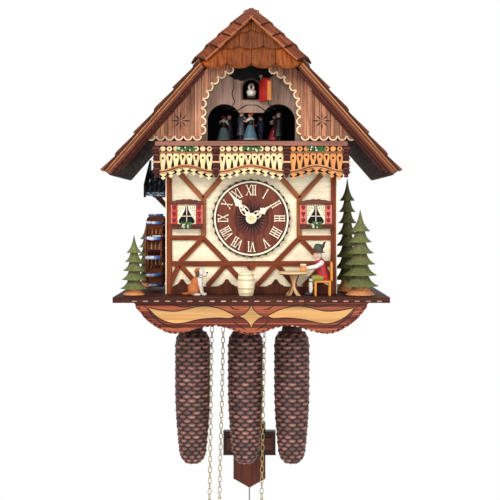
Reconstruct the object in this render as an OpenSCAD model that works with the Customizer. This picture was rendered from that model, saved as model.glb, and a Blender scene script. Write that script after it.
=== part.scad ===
// Wall-hung musical chalet cuckoo clock with three weights, dancers, water wheel and beer drinker.
// Millimetres, +Z up, the wall is the plane Y = 0 and the front faces -Y.
// The origin is the hanger bore, so the house is drawn first and then moved down by hanger_z.

/* [Case] */
// Width of the half-timbered front
house_w = 221.4; // [180:0.1:260]
// Distance from the wall to the face of the half-timbered front
house_d = 186; // [150:1:220]
// Thickness of the case boards
board_t = 6; // [4:0.5:10]
// Width of the base platform
platform_w = 348.6; // [300:0.1:400]
// Distance from the wall to the front edge of the base platform
platform_d = 240; // [200:1:260]
// Thickness of the base platform
platform_t = 7; // [5:0.5:12]
// Height of the hanger bore above the platform
hanger_z = 290; // [240:1:330]
// Radius of the hanger bore
hanger_r = 4.5; // [3:0.5:6]

/* [Roof] */
// Height of the ridge above the platform
ridge_z = 379; // [340:1:420]
// Half width of the roof at the eaves
eave_x = 189; // [160:1:220]
// Height of the eaves above the platform
eave_z = 164; // [140:1:200]
// Distance from the wall to the front edge of the roof
roof_d = 232; // [200:1:250]
// Thickness of the roof boards
roof_board_t = 8; // [5:0.5:12]
// Thickness of the shingle courses
shingle_t = 6; // [3:0.5:9]
// Exposed length of one shingle course
shingle_pitch = 37.6; // [30:0.1:45]
// Height of the lower edge of the half-hip above the platform
hip_z = 296.6; // [270:0.1:320]

/* [Dial] */
// Height of the dial centre above the platform
dial_z = 99; // [80:1:120]
// Outer radius of the scalloped dial plate
dial_r = 50.6; // [40:0.1:60]
// Length of the minute hand from the arbor
minute_len = 45.5; // [35:0.5:50]
// Length of the hour hand from the arbor
hour_len = 31; // [22:0.5:38]
// Angle of the minute hand, clockwise from twelve
minute_angle = 319.8; // [0:0.1:360]
// Angle of the hour hand, clockwise from twelve
hour_angle = 57; // [0:0.1:360]

/* [Weights] */
// Diameter of a pine cone weight
cone_d = 49.5; // [40:0.5:60]
// Length of a pine cone weight
cone_len = 181.5; // [150:0.5:200]
// Distance from the wall to the plane of the weights
weight_y = 110; // [90:1:130]
// Outside width of a chain link
chain_d = 5.4; // [4:0.1:7]
// Wire diameter of a chain link
wire_d = 1.1; // [0.8:0.1:1.6]
// Pitch of the chain
link_pitch = 7.4; // [6:0.1:9]

/* [Pendulum] */
// Distance from the wall to the pendulum
pendulum_y = 50; // [35:1:65]
// Height of the pendulum pivot above the platform
pivot_z = 139; // [120:1:160]

/* [Hidden] */
$fn = 48;
half_w = house_w / 2;
front_y = -house_d;
platform_x = platform_w / 2;
pitch = atan((ridge_z - eave_z) / eave_x);
slope_len = eave_x / cos(pitch);
roof_t = roof_board_t + shingle_t;
roof_back_y = -2;
// Half width of the half-hip where it meets the front edge of the roof
hip_x = (ridge_z - hip_z) / tan(pitch);
// Depth over which the half-hip, which leans at 45 degrees, reaches the ridge
hip_run = ridge_z - hip_z;
hip_y = -roof_d + hip_run;
// The face planes of the front parts
facade_back = front_y + board_t;
gable_y = -205;
gable_t = 6;
balcony_y = -215;
stage_z = 192;
stage_t = 5.8;
stage_top = stage_z + stage_t;
apron_y = -228;
apron_t = 7;
side_t = 7;
back_t = 8;
side_in = half_w - side_t;
// Arch of the gable board
arch_x = 63.8;
arch_spring = 239;
arch_rise = 51;
gable_bottom = 205;
gable_top = 303;
gable_foot_x = 133.7;
// Cuckoo door opening
door_w = 22.3;
door_z0 = 255;
door_z1 = 280.6;
door_hinge_x = 12.6;
door_hinge_y = front_y - 3.8;
door_pin_r = 0.9;
door_open = 115;
// Carousel
carousel_y = -128;
carousel_r = 50;
carousel_z = 199;
couple_r = 35;
// Movement between its plates
plate_front_y = -135;
plate_back_y = -87;
plate_t = 1.5;
// Sprockets: centre x, radius to the chain centreline, weight side and free side x
music_x = [-67, 14, -81, -53];
time_x = [-23.25, 15.25, -8, -38.5];
strike_x = [37, 19, 56, 18];
sprocket_z = 52;
cone_top = -59;
cone_bottom = cone_top - cone_len;
minute_r = 2;
pipe_r = 3.5;
// Routes of the free chains, from the sprocket to the top of the hank. Two of them
// hang in front of the weights, which are too close to let them past.
music_route = [
    [-53, -110, 52], [-53, -110, 0], [-53.5, -114, -25], [-54, -122, -55], [-55, -122, -120],
    [-56, -124, -200], [-57.5, -124, -290], [-60, -124, -345], [-64, -122, -400]
];
time_route = [
    [-38.5, -110, 52], [-38.5, -110, 0], [-39, -110, -60], [-40, -110, -120],
    [-42, -110, -200], [-44, -110, -290], [-43, -110, -345], [-41, -110, -400]
];
strike_route = [
    [18, -110, 52], [18, -110, 0], [18, -115, -25], [18, -126, -55], [17, -126, -120],
    [15.5, -126, -200], [14, -126, -290], [14, -126, -345], [14, -126, -400]
];
// The folded rest of each chain: a bundle of runs with round ends
hank_len = 106;
hank_w = 21.6;
hank_d = 34;
// Water wheel
wheel_x = -130.5;
wheel_w = 23;
wheel_y = -120;
wheel_z = 54.5;
wheel_r = 51;
axle_r = 2.5;
// Running clearance on a radius
run = 0.06;
// Thickness of a glued joint between roof layers
glue = 0.03;

wood_dark = [0.30, 0.15, 0.10];
wood_mid = [0.46, 0.26, 0.16];
wood_gable = [0.52, 0.38, 0.32];
wood_roof = [0.45, 0.25, 0.16];
wood_hip = [0.68, 0.38, 0.18];
cream = [0.93, 0.87, 0.74];
tan_wood = [0.86, 0.70, 0.47];
brass = [0.72, 0.60, 0.35];
steel = [0.62, 0.62, 0.64];
copper = [0.32, 0.20, 0.18];
red = [0.75, 0.20, 0.17];
green = [0.25, 0.38, 0.22];
tree_light = [0.40, 0.44, 0.26];
black = [0.08, 0.08, 0.09];

// Moves a node drawn from the platform up so that the hanger bore is the origin.
module placed() {
    translate([0, 0, -hanger_z])
        children();
}

// A flat board parallel to the wall: its 2D shape is X and Z, its face is at y.
module board(y, t) {
    translate([0, y + t, 0])
        rotate([90, 0, 0])
            linear_extrude(t)
                children();
}

// A flat board square to the X axis: its 2D shape is Y and Z.
module side_board(x, t) {
    translate([x, 0, 0])
        rotate([90, 0, 90])
            linear_extrude(t)
                children();
}

// A round bar along Y from y0 to y1.
module bar_y(x, z, r, y0, y1) {
    translate([x, y1, z])
        rotate([90, 0, 0])
            cylinder(r = r, h = y1 - y0);
}

// A round bar along X from x0 to x1.
module bar_x(y, z, r, x0, x1) {
    translate([x0, y, z])
        rotate([0, 90, 0])
            cylinder(r = r, h = x1 - x0);
}

module mirrored() {
    children();
    mirror([1, 0, 0])
        children();
}

// A straight strip of width w between two points.
module strip(a, b, w) {
    d = b - a;
    n = [-d[1], d[0]] / norm(d) * w / 2;
    polygon([a + n, b + n, b - n, a - n]);
}

// Height of the underside of the roof boards at half width x, less the glue joint.
function under_roof(x) = ridge_z - (roof_t + glue) / cos(pitch) - x * tan(pitch);

// A point on the right slope, u down from the ridge and v out from the shingle face.
function slope_point(u, v) = [
    u * cos(pitch) + v * sin(pitch),
    ridge_z - u * sin(pitch) + v * cos(pitch)
];

// The space above the half-hip, dropped by d square to the hip.
module above_hip(d) {
    drop = d * sqrt(2);
    side_board(-eave_x * 2, eave_x * 4)
        polygon([
            [-roof_d - 60, hip_z - 60 - drop],
            [hip_y + 260, hip_z + hip_run + 260 - drop],
            [-roof_d - 60, hip_z + 600]
        ]);
}

// The space under both slopes, dropped by d square to them, over the half-hip's depth.
module under_slopes(d) {
    drop = d / cos(pitch);
    board(-roof_d - 30, hip_run + 60)
        polygon([
            [0, ridge_z - drop],
            [400, ridge_z - drop - 400 * tan(pitch)],
            [400, -200],
            [-400, -200],
            [-400, ridge_z - drop - 400 * tan(pitch)]
        ]);
}

module back_panel() {
    color(wood_mid) placed() difference() {
        board(-back_t, back_t)
            polygon([
                [-half_w, 0], [half_w, 0], [half_w, under_roof(half_w)],
                [0, under_roof(0)], [-half_w, under_roof(half_w)]
            ]);
        // Recess for the hanger plate and clearance for the screw head
        board(-3, 4)
            translate([-20, hanger_z - 14])
                square([40, 28]);
        bar_y(0, hanger_z, 7, -back_t - 1, -2);
    }
}

module hanger_plate() {
    color(steel) placed() difference() {
        board(-3, 3)
            translate([-20, hanger_z - 14])
                square([40, 28]);
        bar_y(0, hanger_z, hanger_r, -4, 1);
        mirrored()
            bar_y(14, hanger_z, 1.6, -4, 1);
    }
}

module side_wall() {
    board(facade_back, -back_t - facade_back)
        polygon([
            [side_in, 0], [half_w, 0], [half_w, under_roof(half_w)],
            [side_in, under_roof(side_in)]
        ]);
}

module side_wall_left() {
    color(wood_mid) placed() difference() {
        mirror([1, 0, 0])
            side_wall();
        bar_x(wheel_y, wheel_z, axle_r + run, -half_w - 1, -side_in + 1);
    }
}

module side_wall_right() {
    color(wood_mid) placed()
        side_wall();
}

// Cream panel board; the dial hole lets the hand arbors through.
module facade_panel() {
    color(cream) placed() difference() {
        board(front_y, board_t)
            translate([-half_w, 0])
                square([house_w, stage_z]);
        bar_y(0, dial_z, 12, front_y - 1, facade_back + 1);
    }
}

beam_w = 6.4;
frame_t = 3;
module timber_side() {
    translate([104, 10])
        square([half_w - 104, stage_z - 10]);
    translate([59.4, 72])
        square([7, 53]);
    strip([92, 158], [63, 124], beam_w);
    strip([36, 158], [63, 124], beam_w);
    translate([63, 70.3])
        square([42, beam_w]);
    strip([63, 73.5], [94.5, 41], beam_w);
    strip([63, 73.5], [31, 41], beam_w);
    // Braces from the main beam down to the skirting
    strip([94, 39.5], [106, 12], beam_w);
    strip([94, 39.5], [78, 12], beam_w);
    strip([33, 39.5], [49, 12], beam_w);
    strip([33, 39.5], [17, 12], beam_w);
}

// Half-timbering on the front, with the skirting board and its scroll humps.
module timber_frame() {
    color(wood_mid) placed() difference() {
        board(front_y - frame_t, frame_t)
            difference() {
                union() {
                    mirrored()
                        timber_side();
                    translate([-half_w, 36.3])
                        square([house_w, 6.8]);
                    translate([-half_w, 0])
                        square([house_w, 10]);
                    mirrored() {
                        translate([32, 9])
                            circle(r = 9);
                        translate([94.5, 9])
                            circle(r = 9);
                    }
                    translate([0, 37])
                        circle(r = 6);
                }
                translate([-half_w, -20])
                    square([house_w, 20]);
                translate([0, dial_z])
                    circle(r = dial_r + 0.2);
            }
    }
}

// Panel behind the gable board, with the cuckoo opening and the two-lobed stage opening.
module inner_gable() {
    color(wood_mid) placed() {
        for (z = [door_z0 - 4, door_z1 + 2.6]) {
            translate([door_hinge_x - 2, door_hinge_y - 2, z])
                cube([4, front_y - door_hinge_y + 2, 2.6]);
        }
        translate([door_hinge_x, door_hinge_y, door_z0 - 4])
            cylinder(r = door_pin_r, h = door_z1 - door_z0 + 8);
        inner_gable_panel();
    }
}

module inner_gable_panel() {
    difference() {
        board(front_y, board_t)
            polygon([
                [-half_w, stage_top], [half_w, stage_top],
                [half_w, under_roof(half_w)], [32, 320], [-32, 320],
                [-half_w, under_roof(half_w)]
            ]);
        board(front_y - 1, board_t + 2) {
            mirrored()
                translate([35.4, 226.7])
                    circle(r = 22);
            translate([-57.4, stage_top - 1])
                square([114.8, 226.7 - stage_top + 1]);
            translate([-35.4, 220])
                square([70.8, 17.5]);
            translate([-door_w / 2, door_z0])
                square([door_w, door_z1 - door_z0 - door_w / 2]);
            translate([0, door_z1 - door_w / 2])
                circle(r = door_w / 2);
        }
    }
}

// Front gable with its scalloped lower edge and its tall arch.
module gable_board() {
    scallop = 11.9;
    corner_z = under_roof(gable_foot_x);
    color(wood_gable) placed() board(gable_y, gable_t)
        difference() {
            union() {
                polygon([
                    [-gable_foot_x, gable_bottom - 1], [gable_foot_x, gable_bottom - 1],
                    [gable_foot_x, corner_z], [47.8, gable_top],
                    [-47.8, gable_top], [-gable_foot_x, corner_z]
                ]);
                for (side = [-1, 1], i = [0 : 4]) {
                    translate([side * (arch_x + 5.95 + i * scallop), gable_bottom])
                        circle(r = 5.7);
                }
            }
            translate([-arch_x, 190])
                square([arch_x * 2, arch_spring - 190]);
            translate([0, arch_spring])
                scale([1, arch_rise / arch_x])
                    circle(r = arch_x, $fn = 72);
        }
}

// Shelf over the balcony that runs on inside the house and carries the carousel.
module stage_floor() {
    color(wood_gable) placed() difference() {
        translate([0, 0, stage_z])
            linear_extrude(stage_t)
                polygon([
                    [-123, balcony_y - 4], [123, balcony_y - 4], [123, front_y],
                    [side_in, front_y], [side_in, -60], [-side_in, -60],
                    [-side_in, front_y], [-123, front_y]
                ]);
        translate([0, carousel_y, stage_z - 1])
            cylinder(r = 3 + run, h = stage_t + 2);
    }
}

// Four ribbed posts, each with two turned rings of stacked plates.
module balcony_posts() {
    color(wood_dark) placed()
        for (x = [-121.6, -45.3, 45.3, 121.6]) {
            translate([x - 4, balcony_y - 3, 155.7])
                cube([8, 6, stage_z - 155.7]);
            for (i = [0 : 7]) {
                translate([x - 4.5, balcony_y - 4, 157.5 + i * 4.3])
                    cube([9, 1, 2.2]);
            }
        }
}

// The rails of one bay between x0 and x1, the lower one bowed up in the middle.
module bay_rails(x0, x1) {
    mid = (x0 + x1) / 2;
    half = (x1 - x0) / 2;
    rise = 7.5;
    bow_r = (half * half + rise * rise) / (2 * rise);
    board(balcony_y - 1.5, 3) {
        translate([x0, 182.3])
            square([x1 - x0, 2]);
        intersection() {
            translate([mid, 168.5 - bow_r])
                difference() {
                    circle(r = bow_r, $fn = 96);
                    circle(r = bow_r - 5, $fn = 96);
                }
            translate([x0, 140])
                square([x1 - x0, 40]);
        }
    }
}

module balcony_rails() {
    color(wood_mid) placed() {
        bay_rails(-117.6, -49.3);
        bay_rails(-41.3, 41.3);
        bay_rails(49.3, 117.6);
        // Returns from the outer posts to the house
        mirrored() {
            translate([118.6, balcony_y + 3, 160])
                cube([4, front_y - balcony_y - 3, 5]);
            translate([118.6, balcony_y + 3, 182.3])
                cube([4, front_y - balcony_y - 3, 2]);
        }
    }
}

// Height of the bowed lower rail's top at distance dx from the middle of a bay.
function bow_top(dx, half) = 168.5 - 7.5 * dx * dx / (half * half);

// Flat fret balusters with a round hole, and the discs above them.
module bay_balusters(x0, x1, n) {
    step = (x1 - x0) / n;
    mid = (x0 + x1) / 2;
    half = (x1 - x0) / 2;
    for (i = [0 : n - 1]) {
        x = x0 + step * (i + 0.5);
        // The rail is highest at the side of the foot towards the middle of the bay
        foot = bow_top(max(abs(x - mid) - 2, 0), half) + 0.35;
        board(balcony_y - 0.75, 1.5) {
            difference() {
                union() {
                    translate([x, 177])
                        circle(r = 3.7);
                    translate([x - 2, foot])
                        square([4, 176 - foot]);
                    translate([x - 1.2, 177])
                        square([2.4, 5.3]);
                }
                translate([x, 177])
                    circle(r = 1.3);
            }
            difference() {
                union() {
                    translate([x, 188.3])
                        circle(r = 3.4);
                    translate([x - 1, 184.3])
                        square([2, stage_z - 184.3]);
                }
                translate([x, 188.3])
                    circle(r = 1.2);
            }
        }
    }
}

module balcony_balusters() {
    color(tan_wood) placed() {
        bay_balusters(-117.6, -49.3, 8);
        bay_balusters(-41.3, 41.3, 10);
        bay_balusters(49.3, 117.6, 8);
    }
}

// One slope of the boarded roof, between depths v0 and v1 under the shingle face.
module slope_layer(v0, v1, length) {
    board(-roof_d, roof_d + roof_back_y)
        polygon([
            [0, ridge_z - v0 / cos(pitch)], slope_point(length, -v0),
            slope_point(length, -v1), [0, ridge_z - v1 / cos(pitch)]
        ]);
}

module roof_board_right() {
    color(wood_dark) placed() difference() {
        slope_layer(shingle_t, roof_t, slope_len);
        above_hip(roof_t);
    }
}

module roof_board_left() {
    color(wood_dark) placed() mirror([1, 0, 0]) difference() {
        slope_layer(shingle_t, roof_t, slope_len);
        above_hip(roof_t);
    }
}

// Board of the leaning half-hip, which lies on the cut ends of both slopes.
module hip_board() {
    drop = roof_t * sqrt(2);
    rise = shingle_t * sqrt(2);
    color(wood_dark) placed() intersection() {
        side_board(-eave_x, eave_x * 2)
            polygon([
                [-roof_d, hip_z - drop], [-roof_d, hip_z - rise],
                [hip_y + 20, hip_z + hip_run + 20 - rise],
                [hip_y + 20, hip_z + hip_run + 20 - drop]
            ]);
        under_slopes(shingle_t);
    }
}

// Saw-tooth section of the shingle courses of one slope.
module slope_courses() {
    courses = ceil(slope_len / shingle_pitch);
    for (i = [0 : courses - 1]) {
        u0 = i * shingle_pitch;
        u1 = min(u0 + shingle_pitch, slope_len + 3);
        top = i == 0 ? [0, ridge_z] : slope_point(u0, -shingle_t / 2);
        under = glue - shingle_t;
        low = i == 0 ? [0, ridge_z + under / cos(pitch)] : slope_point(u0, under);
        polygon([top, slope_point(u1, 0), slope_point(u1, under), low]);
    }
}

module shingles() {
    color(wood_roof) placed() difference() {
        board(-roof_d, roof_d + roof_back_y)
            mirrored()
                slope_courses();
        above_hip(shingle_t - glue);
    }
}

// Three courses on the half-hip.
module hip_shingles() {
    courses = 3;
    step = hip_run * sqrt(2) / courses;
    color(wood_hip) placed() intersection() {
        side_board(-eave_x, eave_x * 2)
            for (i = [0 : courses - 1]) {
                y0 = -roof_d + i * step / sqrt(2);
                z0 = hip_z + i * step / sqrt(2);
                run_up = step / sqrt(2);
                low = shingle_t / sqrt(2);
                under = low * 2 - glue * sqrt(2) * 2;
                polygon([
                    [y0, z0], [y0 + run_up, z0 + run_up - low],
                    [y0 + run_up, z0 + run_up - under], [y0, z0 - under]
                ]);
            }
        under_slopes(0);
    }
}

// Cap boards over the ridge behind the half-hip.
module ridge_cap() {
    leg = 24;
    cap_t = 4;
    color(wood_dark) placed()
        board(hip_y, -hip_y + roof_back_y)
            mirrored()
                polygon([
                    [0, ridge_z + cap_t / cos(pitch)], slope_point(leg, cap_t),
                    slope_point(leg, 0), [0, ridge_z]
                ]);
}

// Slot through the platform for one chain pair, rounded at both ends.
module chain_slot(x0, x1) {
    slot_r = 5;
    translate([x0, -weight_y, -platform_t - 1])
        cylinder(r = slot_r, h = platform_t + 2);
    translate([x1, -weight_y, -platform_t - 1])
        cylinder(r = slot_r, h = platform_t + 2);
    translate([x0, -weight_y - slot_r, -platform_t - 1])
        cube([x1 - x0, slot_r * 2, platform_t + 2]);
}

// Slot towards the front for a free chain that passes in front of its weight.
module drop_slot(x, y) {
    slot_r = 5;
    translate([x, y, -platform_t - 1])
        cylinder(r = slot_r, h = platform_t + 2);
    translate([x - slot_r, y, -platform_t - 1])
        cube([slot_r * 2, -weight_y - y, platform_t + 2]);
}

// Base platform with a fluted front edge, chain slots, pendulum slot and movement blocks.
module base_platform() {
    flute_pitch = 14;
    flutes = floor(platform_w / flute_pitch) - 1;
    color(wood_dark) placed() {
        difference() {
            translate([-platform_x, -platform_d, -platform_t])
                cube([platform_w, platform_d, platform_t]);
            for (i = [-flutes / 2 : flutes / 2]) {
                translate([i * flute_pitch, -platform_d - 9, -platform_t - 1])
                    cylinder(r = 10.2, h = platform_t + 2);
            }
            chain_slot(music_x[2], music_x[3]);
            chain_slot(time_x[3], time_x[2]);
            chain_slot(strike_x[3], strike_x[2]);
            drop_slot(music_x[3], -122);
            drop_slot(strike_x[3], -126);
            translate([-18, -pendulum_y - 5, -platform_t - 1])
                cube([32, 10, platform_t + 2]);
        }
        // Rails that the movements stand on, in front of and behind the chains
        for (y = [plate_front_y - 4, plate_back_y - 4]) {
            translate([-101, y, 0])
                cube([165, 8, 15]);
        }
    }
}

// Outline of the carved apron under the platform, from its right corner to its middle.
apron_edge = [
    [149, -platform_t], [147, -13], [141, -21], [133, -30], [124, -37], [114, -43],
    [105, -46.5], [96, -47.5], [84, -46], [70, -42], [57, -39], [43.5, -38],
    [31, -40.5], [18, -45], [8, -48.2], [0, -49]
];
apron_last = len(apron_edge) - 1;

module front_apron() {
    color(wood_roof) placed()
        board(apron_y, apron_t)
            polygon(concat(
                apron_edge,
                [for (i = [1 : apron_last]) [-apron_edge[apron_last - i][0], apron_edge[apron_last - i][1]]]
            ));
}

// A window with panes, shutters, a wavy lintel and a flower box, on a block between the beams.
module window_at(x) {
    sill = 86.7;
    face_y = front_y - frame_t;
    board(face_y, frame_t)
        translate([x - 16.5, 88])
            square([33, 34]);
    board(face_y - 2, 2) {
        // Frame with the panes open
        difference() {
            translate([x - 11.9, 93])
                square([23.8, 26.3]);
            for (dx = [-5.2, 5.2], dz = [100, 110.5]) {
                translate([x + dx - 4, dz - 4.2])
                    square([8, 8.6]);
            }
        }
        difference() {
            for (dx = [-17.7, 17.7]) {
                translate([x + dx - 3.7, 93])
                    square([7.4, 26.3]);
            }
            for (dx = [-17.7, 17.7], dz = [99, 113]) {
                translate([x + dx, dz])
                    circle(r = 1.6);
            }
        }
    }
    board(face_y - 4, 4) {
        translate([x - 20.3, 119.3])
            square([40.6, 4]);
        for (dx = [-14, 0, 14]) {
            translate([x + dx, 119.5])
                intersection() {
                    circle(r = 7);
                    translate([-6.2, 0])
                        square([12.4, 8]);
                }
        }
    }
    translate([x - 20, face_y - 8, sill])
        cube([40, 8, 6.3]);
}

module window_left() {
    color(red) placed()
        window_at(-84.3);
}

module window_right() {
    color(red) placed()
        window_at(84.3);
}

// Scalloped wooden dial plate with the bore for the hour pipe.
module dial_plate() {
    notches = 48;
    color(wood_mid) placed() difference() {
        board(front_y - 5, 5)
            difference() {
                translate([0, dial_z])
                    circle(r = dial_r, $fn = 96);
                for (i = [0 : notches - 1]) {
                    translate([0, dial_z])
                        rotate(i * 360 / notches)
                            translate([dial_r + 0.6, 0])
                                circle(r = 1.5);
                }
            }
        bar_y(0, dial_z, pipe_r + run, front_y - 6, front_y + 1);
    }
}

// Raised ring and the twelve hour strokes on the dial face.
module dial_ring() {
    ring_t = 1.2;
    color(cream) placed()
        board(front_y - 5 - ring_t, ring_t) {
            translate([0, dial_z])
                difference() {
                    circle(r = 48.6, $fn = 96);
                    circle(r = 45.7, $fn = 96);
                }
            translate([0, dial_z])
                for (i = [0 : 11]) {
                    rotate(-i * 30)
                        for (dx = [-2.4, 0, 2.4]) {
                            translate([dx - 0.5, 31])
                                square([1, 12]);
                        }
                }
        }
}

// A pierced hand pointing up, made of a leaf, a shaft with side scrolls and a hub.
module hand_outline(reach, hub) {
    circle(r = hub);
    translate([-1.1, 0])
        square([2.2, reach - 6]);
    polygon([[-1.9, reach - 8], [1.9, reach - 8], [0, reach]]);
    for (at = [0.32, 0.5, 0.68]) {
        translate([0, reach * at])
            difference() {
                circle(r = 3.6 - at * 2);
                mirrored()
                    translate([1.3, 0])
                        circle(r = 0.5);
            }
    }
}

module minute_hand() {
    color(cream) placed()
        board(front_y - 13.6, 1.2)
            translate([0, dial_z])
                rotate(-minute_angle)
                    difference() {
                        hand_outline(minute_len, 4);
                        circle(r = minute_r);
                    }
}

module hour_hand() {
    color(cream) placed()
        board(front_y - 11, 1.2)
            translate([0, dial_z])
                rotate(-hour_angle)
                    difference() {
                        hand_outline(hour_len, 6);
                        circle(r = pipe_r);
                    }
}

// Minute arbor with its cannon wheel inside and the hand nut outside.
module minute_arbor() {
    color(brass) placed() {
        bar_y(0, dial_z, minute_r, front_y - 15, plate_back_y + 4);
        bar_y(0, dial_z, 3.6, front_y - 15, front_y - 13.6);
        bar_y(0, dial_z, 9, -143, -141);
    }
}

// Hour pipe that turns on the minute arbor and carries the hour wheel inside.
module hour_pipe() {
    color(brass) placed() difference() {
        union() {
            bar_y(0, dial_z, pipe_r, front_y - 11, -146);
            bar_y(0, dial_z, 18, -150, -148);
        }
        bar_y(0, dial_z, minute_r + run, front_y - 12, -145);
    }
}

// One pair of plates with pillars between them, clear of the chains.
module plates(x0, x1, z0, z1, pillars) {
    for (y = [plate_front_y, plate_back_y - plate_t]) {
        translate([x0, y, z0])
            cube([x1 - x0, plate_t, z1 - z0]);
    }
    for (p = pillars) {
        bar_y(p[0], p[1], 3, plate_front_y + plate_t, plate_back_y - plate_t);
    }
}

// Plates and pillars of the clock movement and of the music movement.
module movement_frame() {
    color(brass) placed() {
        difference() {
            plates(-43, 64, 15, 152, [[-23, 21], [37, 21], [-37, 146], [58, 146]]);
            bar_y(0, dial_z, minute_r + run, -140, -80);
            bar_y(time_x[0], sprocket_z, 2 + run, -140, -80);
            bar_y(strike_x[0], sprocket_z, 2 + run, -140, -80);
            bar_y(-2.7, pivot_z, 1.5 + run, -140, -80);
        }
        // Cock and stud that the pendulum hangs from
        translate([-16, plate_back_y, pivot_z - 3])
            cube([6, 3, 6]);
        translate([-16, plate_back_y + 3, pivot_z - 3])
            cube([3, 36, 6]);
        translate([-16, plate_back_y + 39, pivot_z - 3])
            cube([16, 2, 6]);
        bar_y(-2.7, pivot_z, 1.2, plate_back_y + 34, plate_back_y + 39);
        difference() {
            plates(-101, -47, 15, 92, [[-95, 21], [-67, 21], [-95, 86], [-60, 86]]);
            bar_y(music_x[0], sprocket_z, 2 + run, -140, -80);
            bar_y(-86, 76, 2 + run, -140, -80);
        }
        // Comb of the music movement
        translate([-72, plate_front_y + plate_t, 74])
            cube([12, plate_back_y - plate_front_y - plate_t * 2, 2]);
    }
}

// Pinned cylinder of the music movement.
module music_cylinder() {
    color(brass) placed() {
        bar_y(-86, 76, 2, plate_front_y - 1, plate_back_y + 1);
        bar_y(-86, 76, 8, plate_front_y + 4, plate_back_y - 4);
    }
}

// Chain sprocket with its great wheel on one arbor.
module sprocket(p) {
    body_r = p[1] - chain_d / 2 - 0.3;
    bar_y(p[0], sprocket_z, 2, plate_front_y - 1, plate_back_y + 1);
    bar_y(p[0], sprocket_z, body_r, -weight_y - 3, -weight_y + 3);
    bar_y(p[0], sprocket_z, p[1] + 4, -weight_y + 6, -weight_y + 8);
    bar_y(p[0], sprocket_z, 5, -weight_y + 3, -weight_y + 6);
}

module music_sprocket() {
    color(brass) placed()
        sprocket(music_x);
}

module time_sprocket() {
    color(brass) placed()
        sprocket(time_x);
}

module strike_sprocket() {
    color(brass) placed()
        sprocket(strike_x);
}

// Anchor on its arbor with the crutch that drives the pendulum.
module anchor() {
    color(steel) placed() {
        bar_y(-2.7, pivot_z, 1.5, plate_front_y - 1, plate_back_y + 20);
        board(-120, 4)
            translate([-2.7, pivot_z])
                difference() {
                    intersection() {
                        circle(r = 13);
                        polygon([[-13, -9], [0, -3], [13, -9], [13, 13], [-13, 13]]);
                    }
                    translate([0, -12])
                        circle(r = 9);
                }
        // Crutch arm down the pendulum, with a fork round the rod
        board(plate_back_y + 18, 2)
            translate([-2.7 - 2, pivot_z - 40])
                square([4, 40]);
        for (dx = [-2.2, 1.2]) {
            translate([-2.7 + dx, plate_back_y + 20, pivot_z - 40])
                cube([1, 20, 4]);
        }
    }
}

// Wire rod with an eye that hangs on the stud.
module pendulum_rod() {
    rod_r = 1;
    color(steel) placed() difference() {
        union() {
            translate([-2.7, -pendulum_y, -328])
                cylinder(r = rod_r, h = pivot_z + 328 - 2.4);
            bar_y(-2.7, pivot_z, 3.2, -pendulum_y - 1, -pendulum_y + 1);
        }
        bar_y(-2.7, pivot_z, 1.2 + run, -pendulum_y - 2, -pendulum_y + 2);
    }
}

// Carved wooden bob with a stepped cross bar, sliding on the rod.
module pendulum_bob() {
    x = -2.7;
    color(wood_mid) placed() difference() {
        union() {
            board(-pendulum_y - 7, 14)
                polygon([
                    [x - 23, -196], [x + 23, -196], [x + 23, -276], [x, -289], [x - 23, -276]
                ]);
            board(-pendulum_y - 9, 2)
                translate([x - 37.5, -242])
                    square([75, 34]);
            board(-pendulum_y - 7, 14)
                translate([x - 37.5, -242])
                    square([14.5, 34]);
            board(-pendulum_y - 7, 14)
                translate([x + 23, -242])
                    square([14.5, 34]);
            board(-pendulum_y - 11, 2)
                translate([x - 33, -236])
                    square([66, 22]);
        }
        translate([x, -pendulum_y, -300])
            cylinder(r = 1, h = 120);
    }
}

// Wooden whistle boxes of the cuckoo call.
module whistles() {
    color(wood_mid) placed()
        mirrored()
            difference() {
                translate([76, -78, 20])
                    cube([side_in - 76, 32, 130]);
                // Sound slot of the whistle
                translate([74, -70, 118])
                    cube([6, 16, 5]);
            }
}

module bellows_top_right() {
    color(tan_wood) placed()
        translate([77, -78, 150.4])
            cube([25, 32, 4]);
}

module bellows_top_left() {
    color(tan_wood) placed()
        mirror([1, 0, 0])
            translate([77, -78, 150.4])
                cube([25, 32, 4]);
}

// One link of chain centred on the origin, long in Z, flat across X.
module link() {
    end_r = (chain_d - wire_d) / 2;
    reach = link_pitch / 2 + wire_d / 2 - end_r - 0.03;
    for (side = [0, 180]) {
        rotate([0, side, 0])
            translate([0, 0, reach])
                rotate([90, 0, 0])
                    rotate_extrude(angle = 180)
                        translate([end_r, 0])
                            circle(r = wire_d / 2, $fn = 24);
    }
    for (dx = [-end_r, end_r]) {
        translate([dx, 0, -reach])
            cylinder(r = wire_d / 2, h = reach * 2, $fn = 24);
    }
}

// Links of the loaded side of a chain, from the weight's hook up to the sprocket.
module loaded_chain(x) {
    hook_z = -39;
    count = floor((sprocket_z - hook_z) / link_pitch);
    for (i = [0 : count - 1]) {
        translate([x, -weight_y, hook_z + (i + 0.5) * link_pitch])
            rotate(i % 2 == 0 ? 0 : 90)
                link();
    }
}

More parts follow.
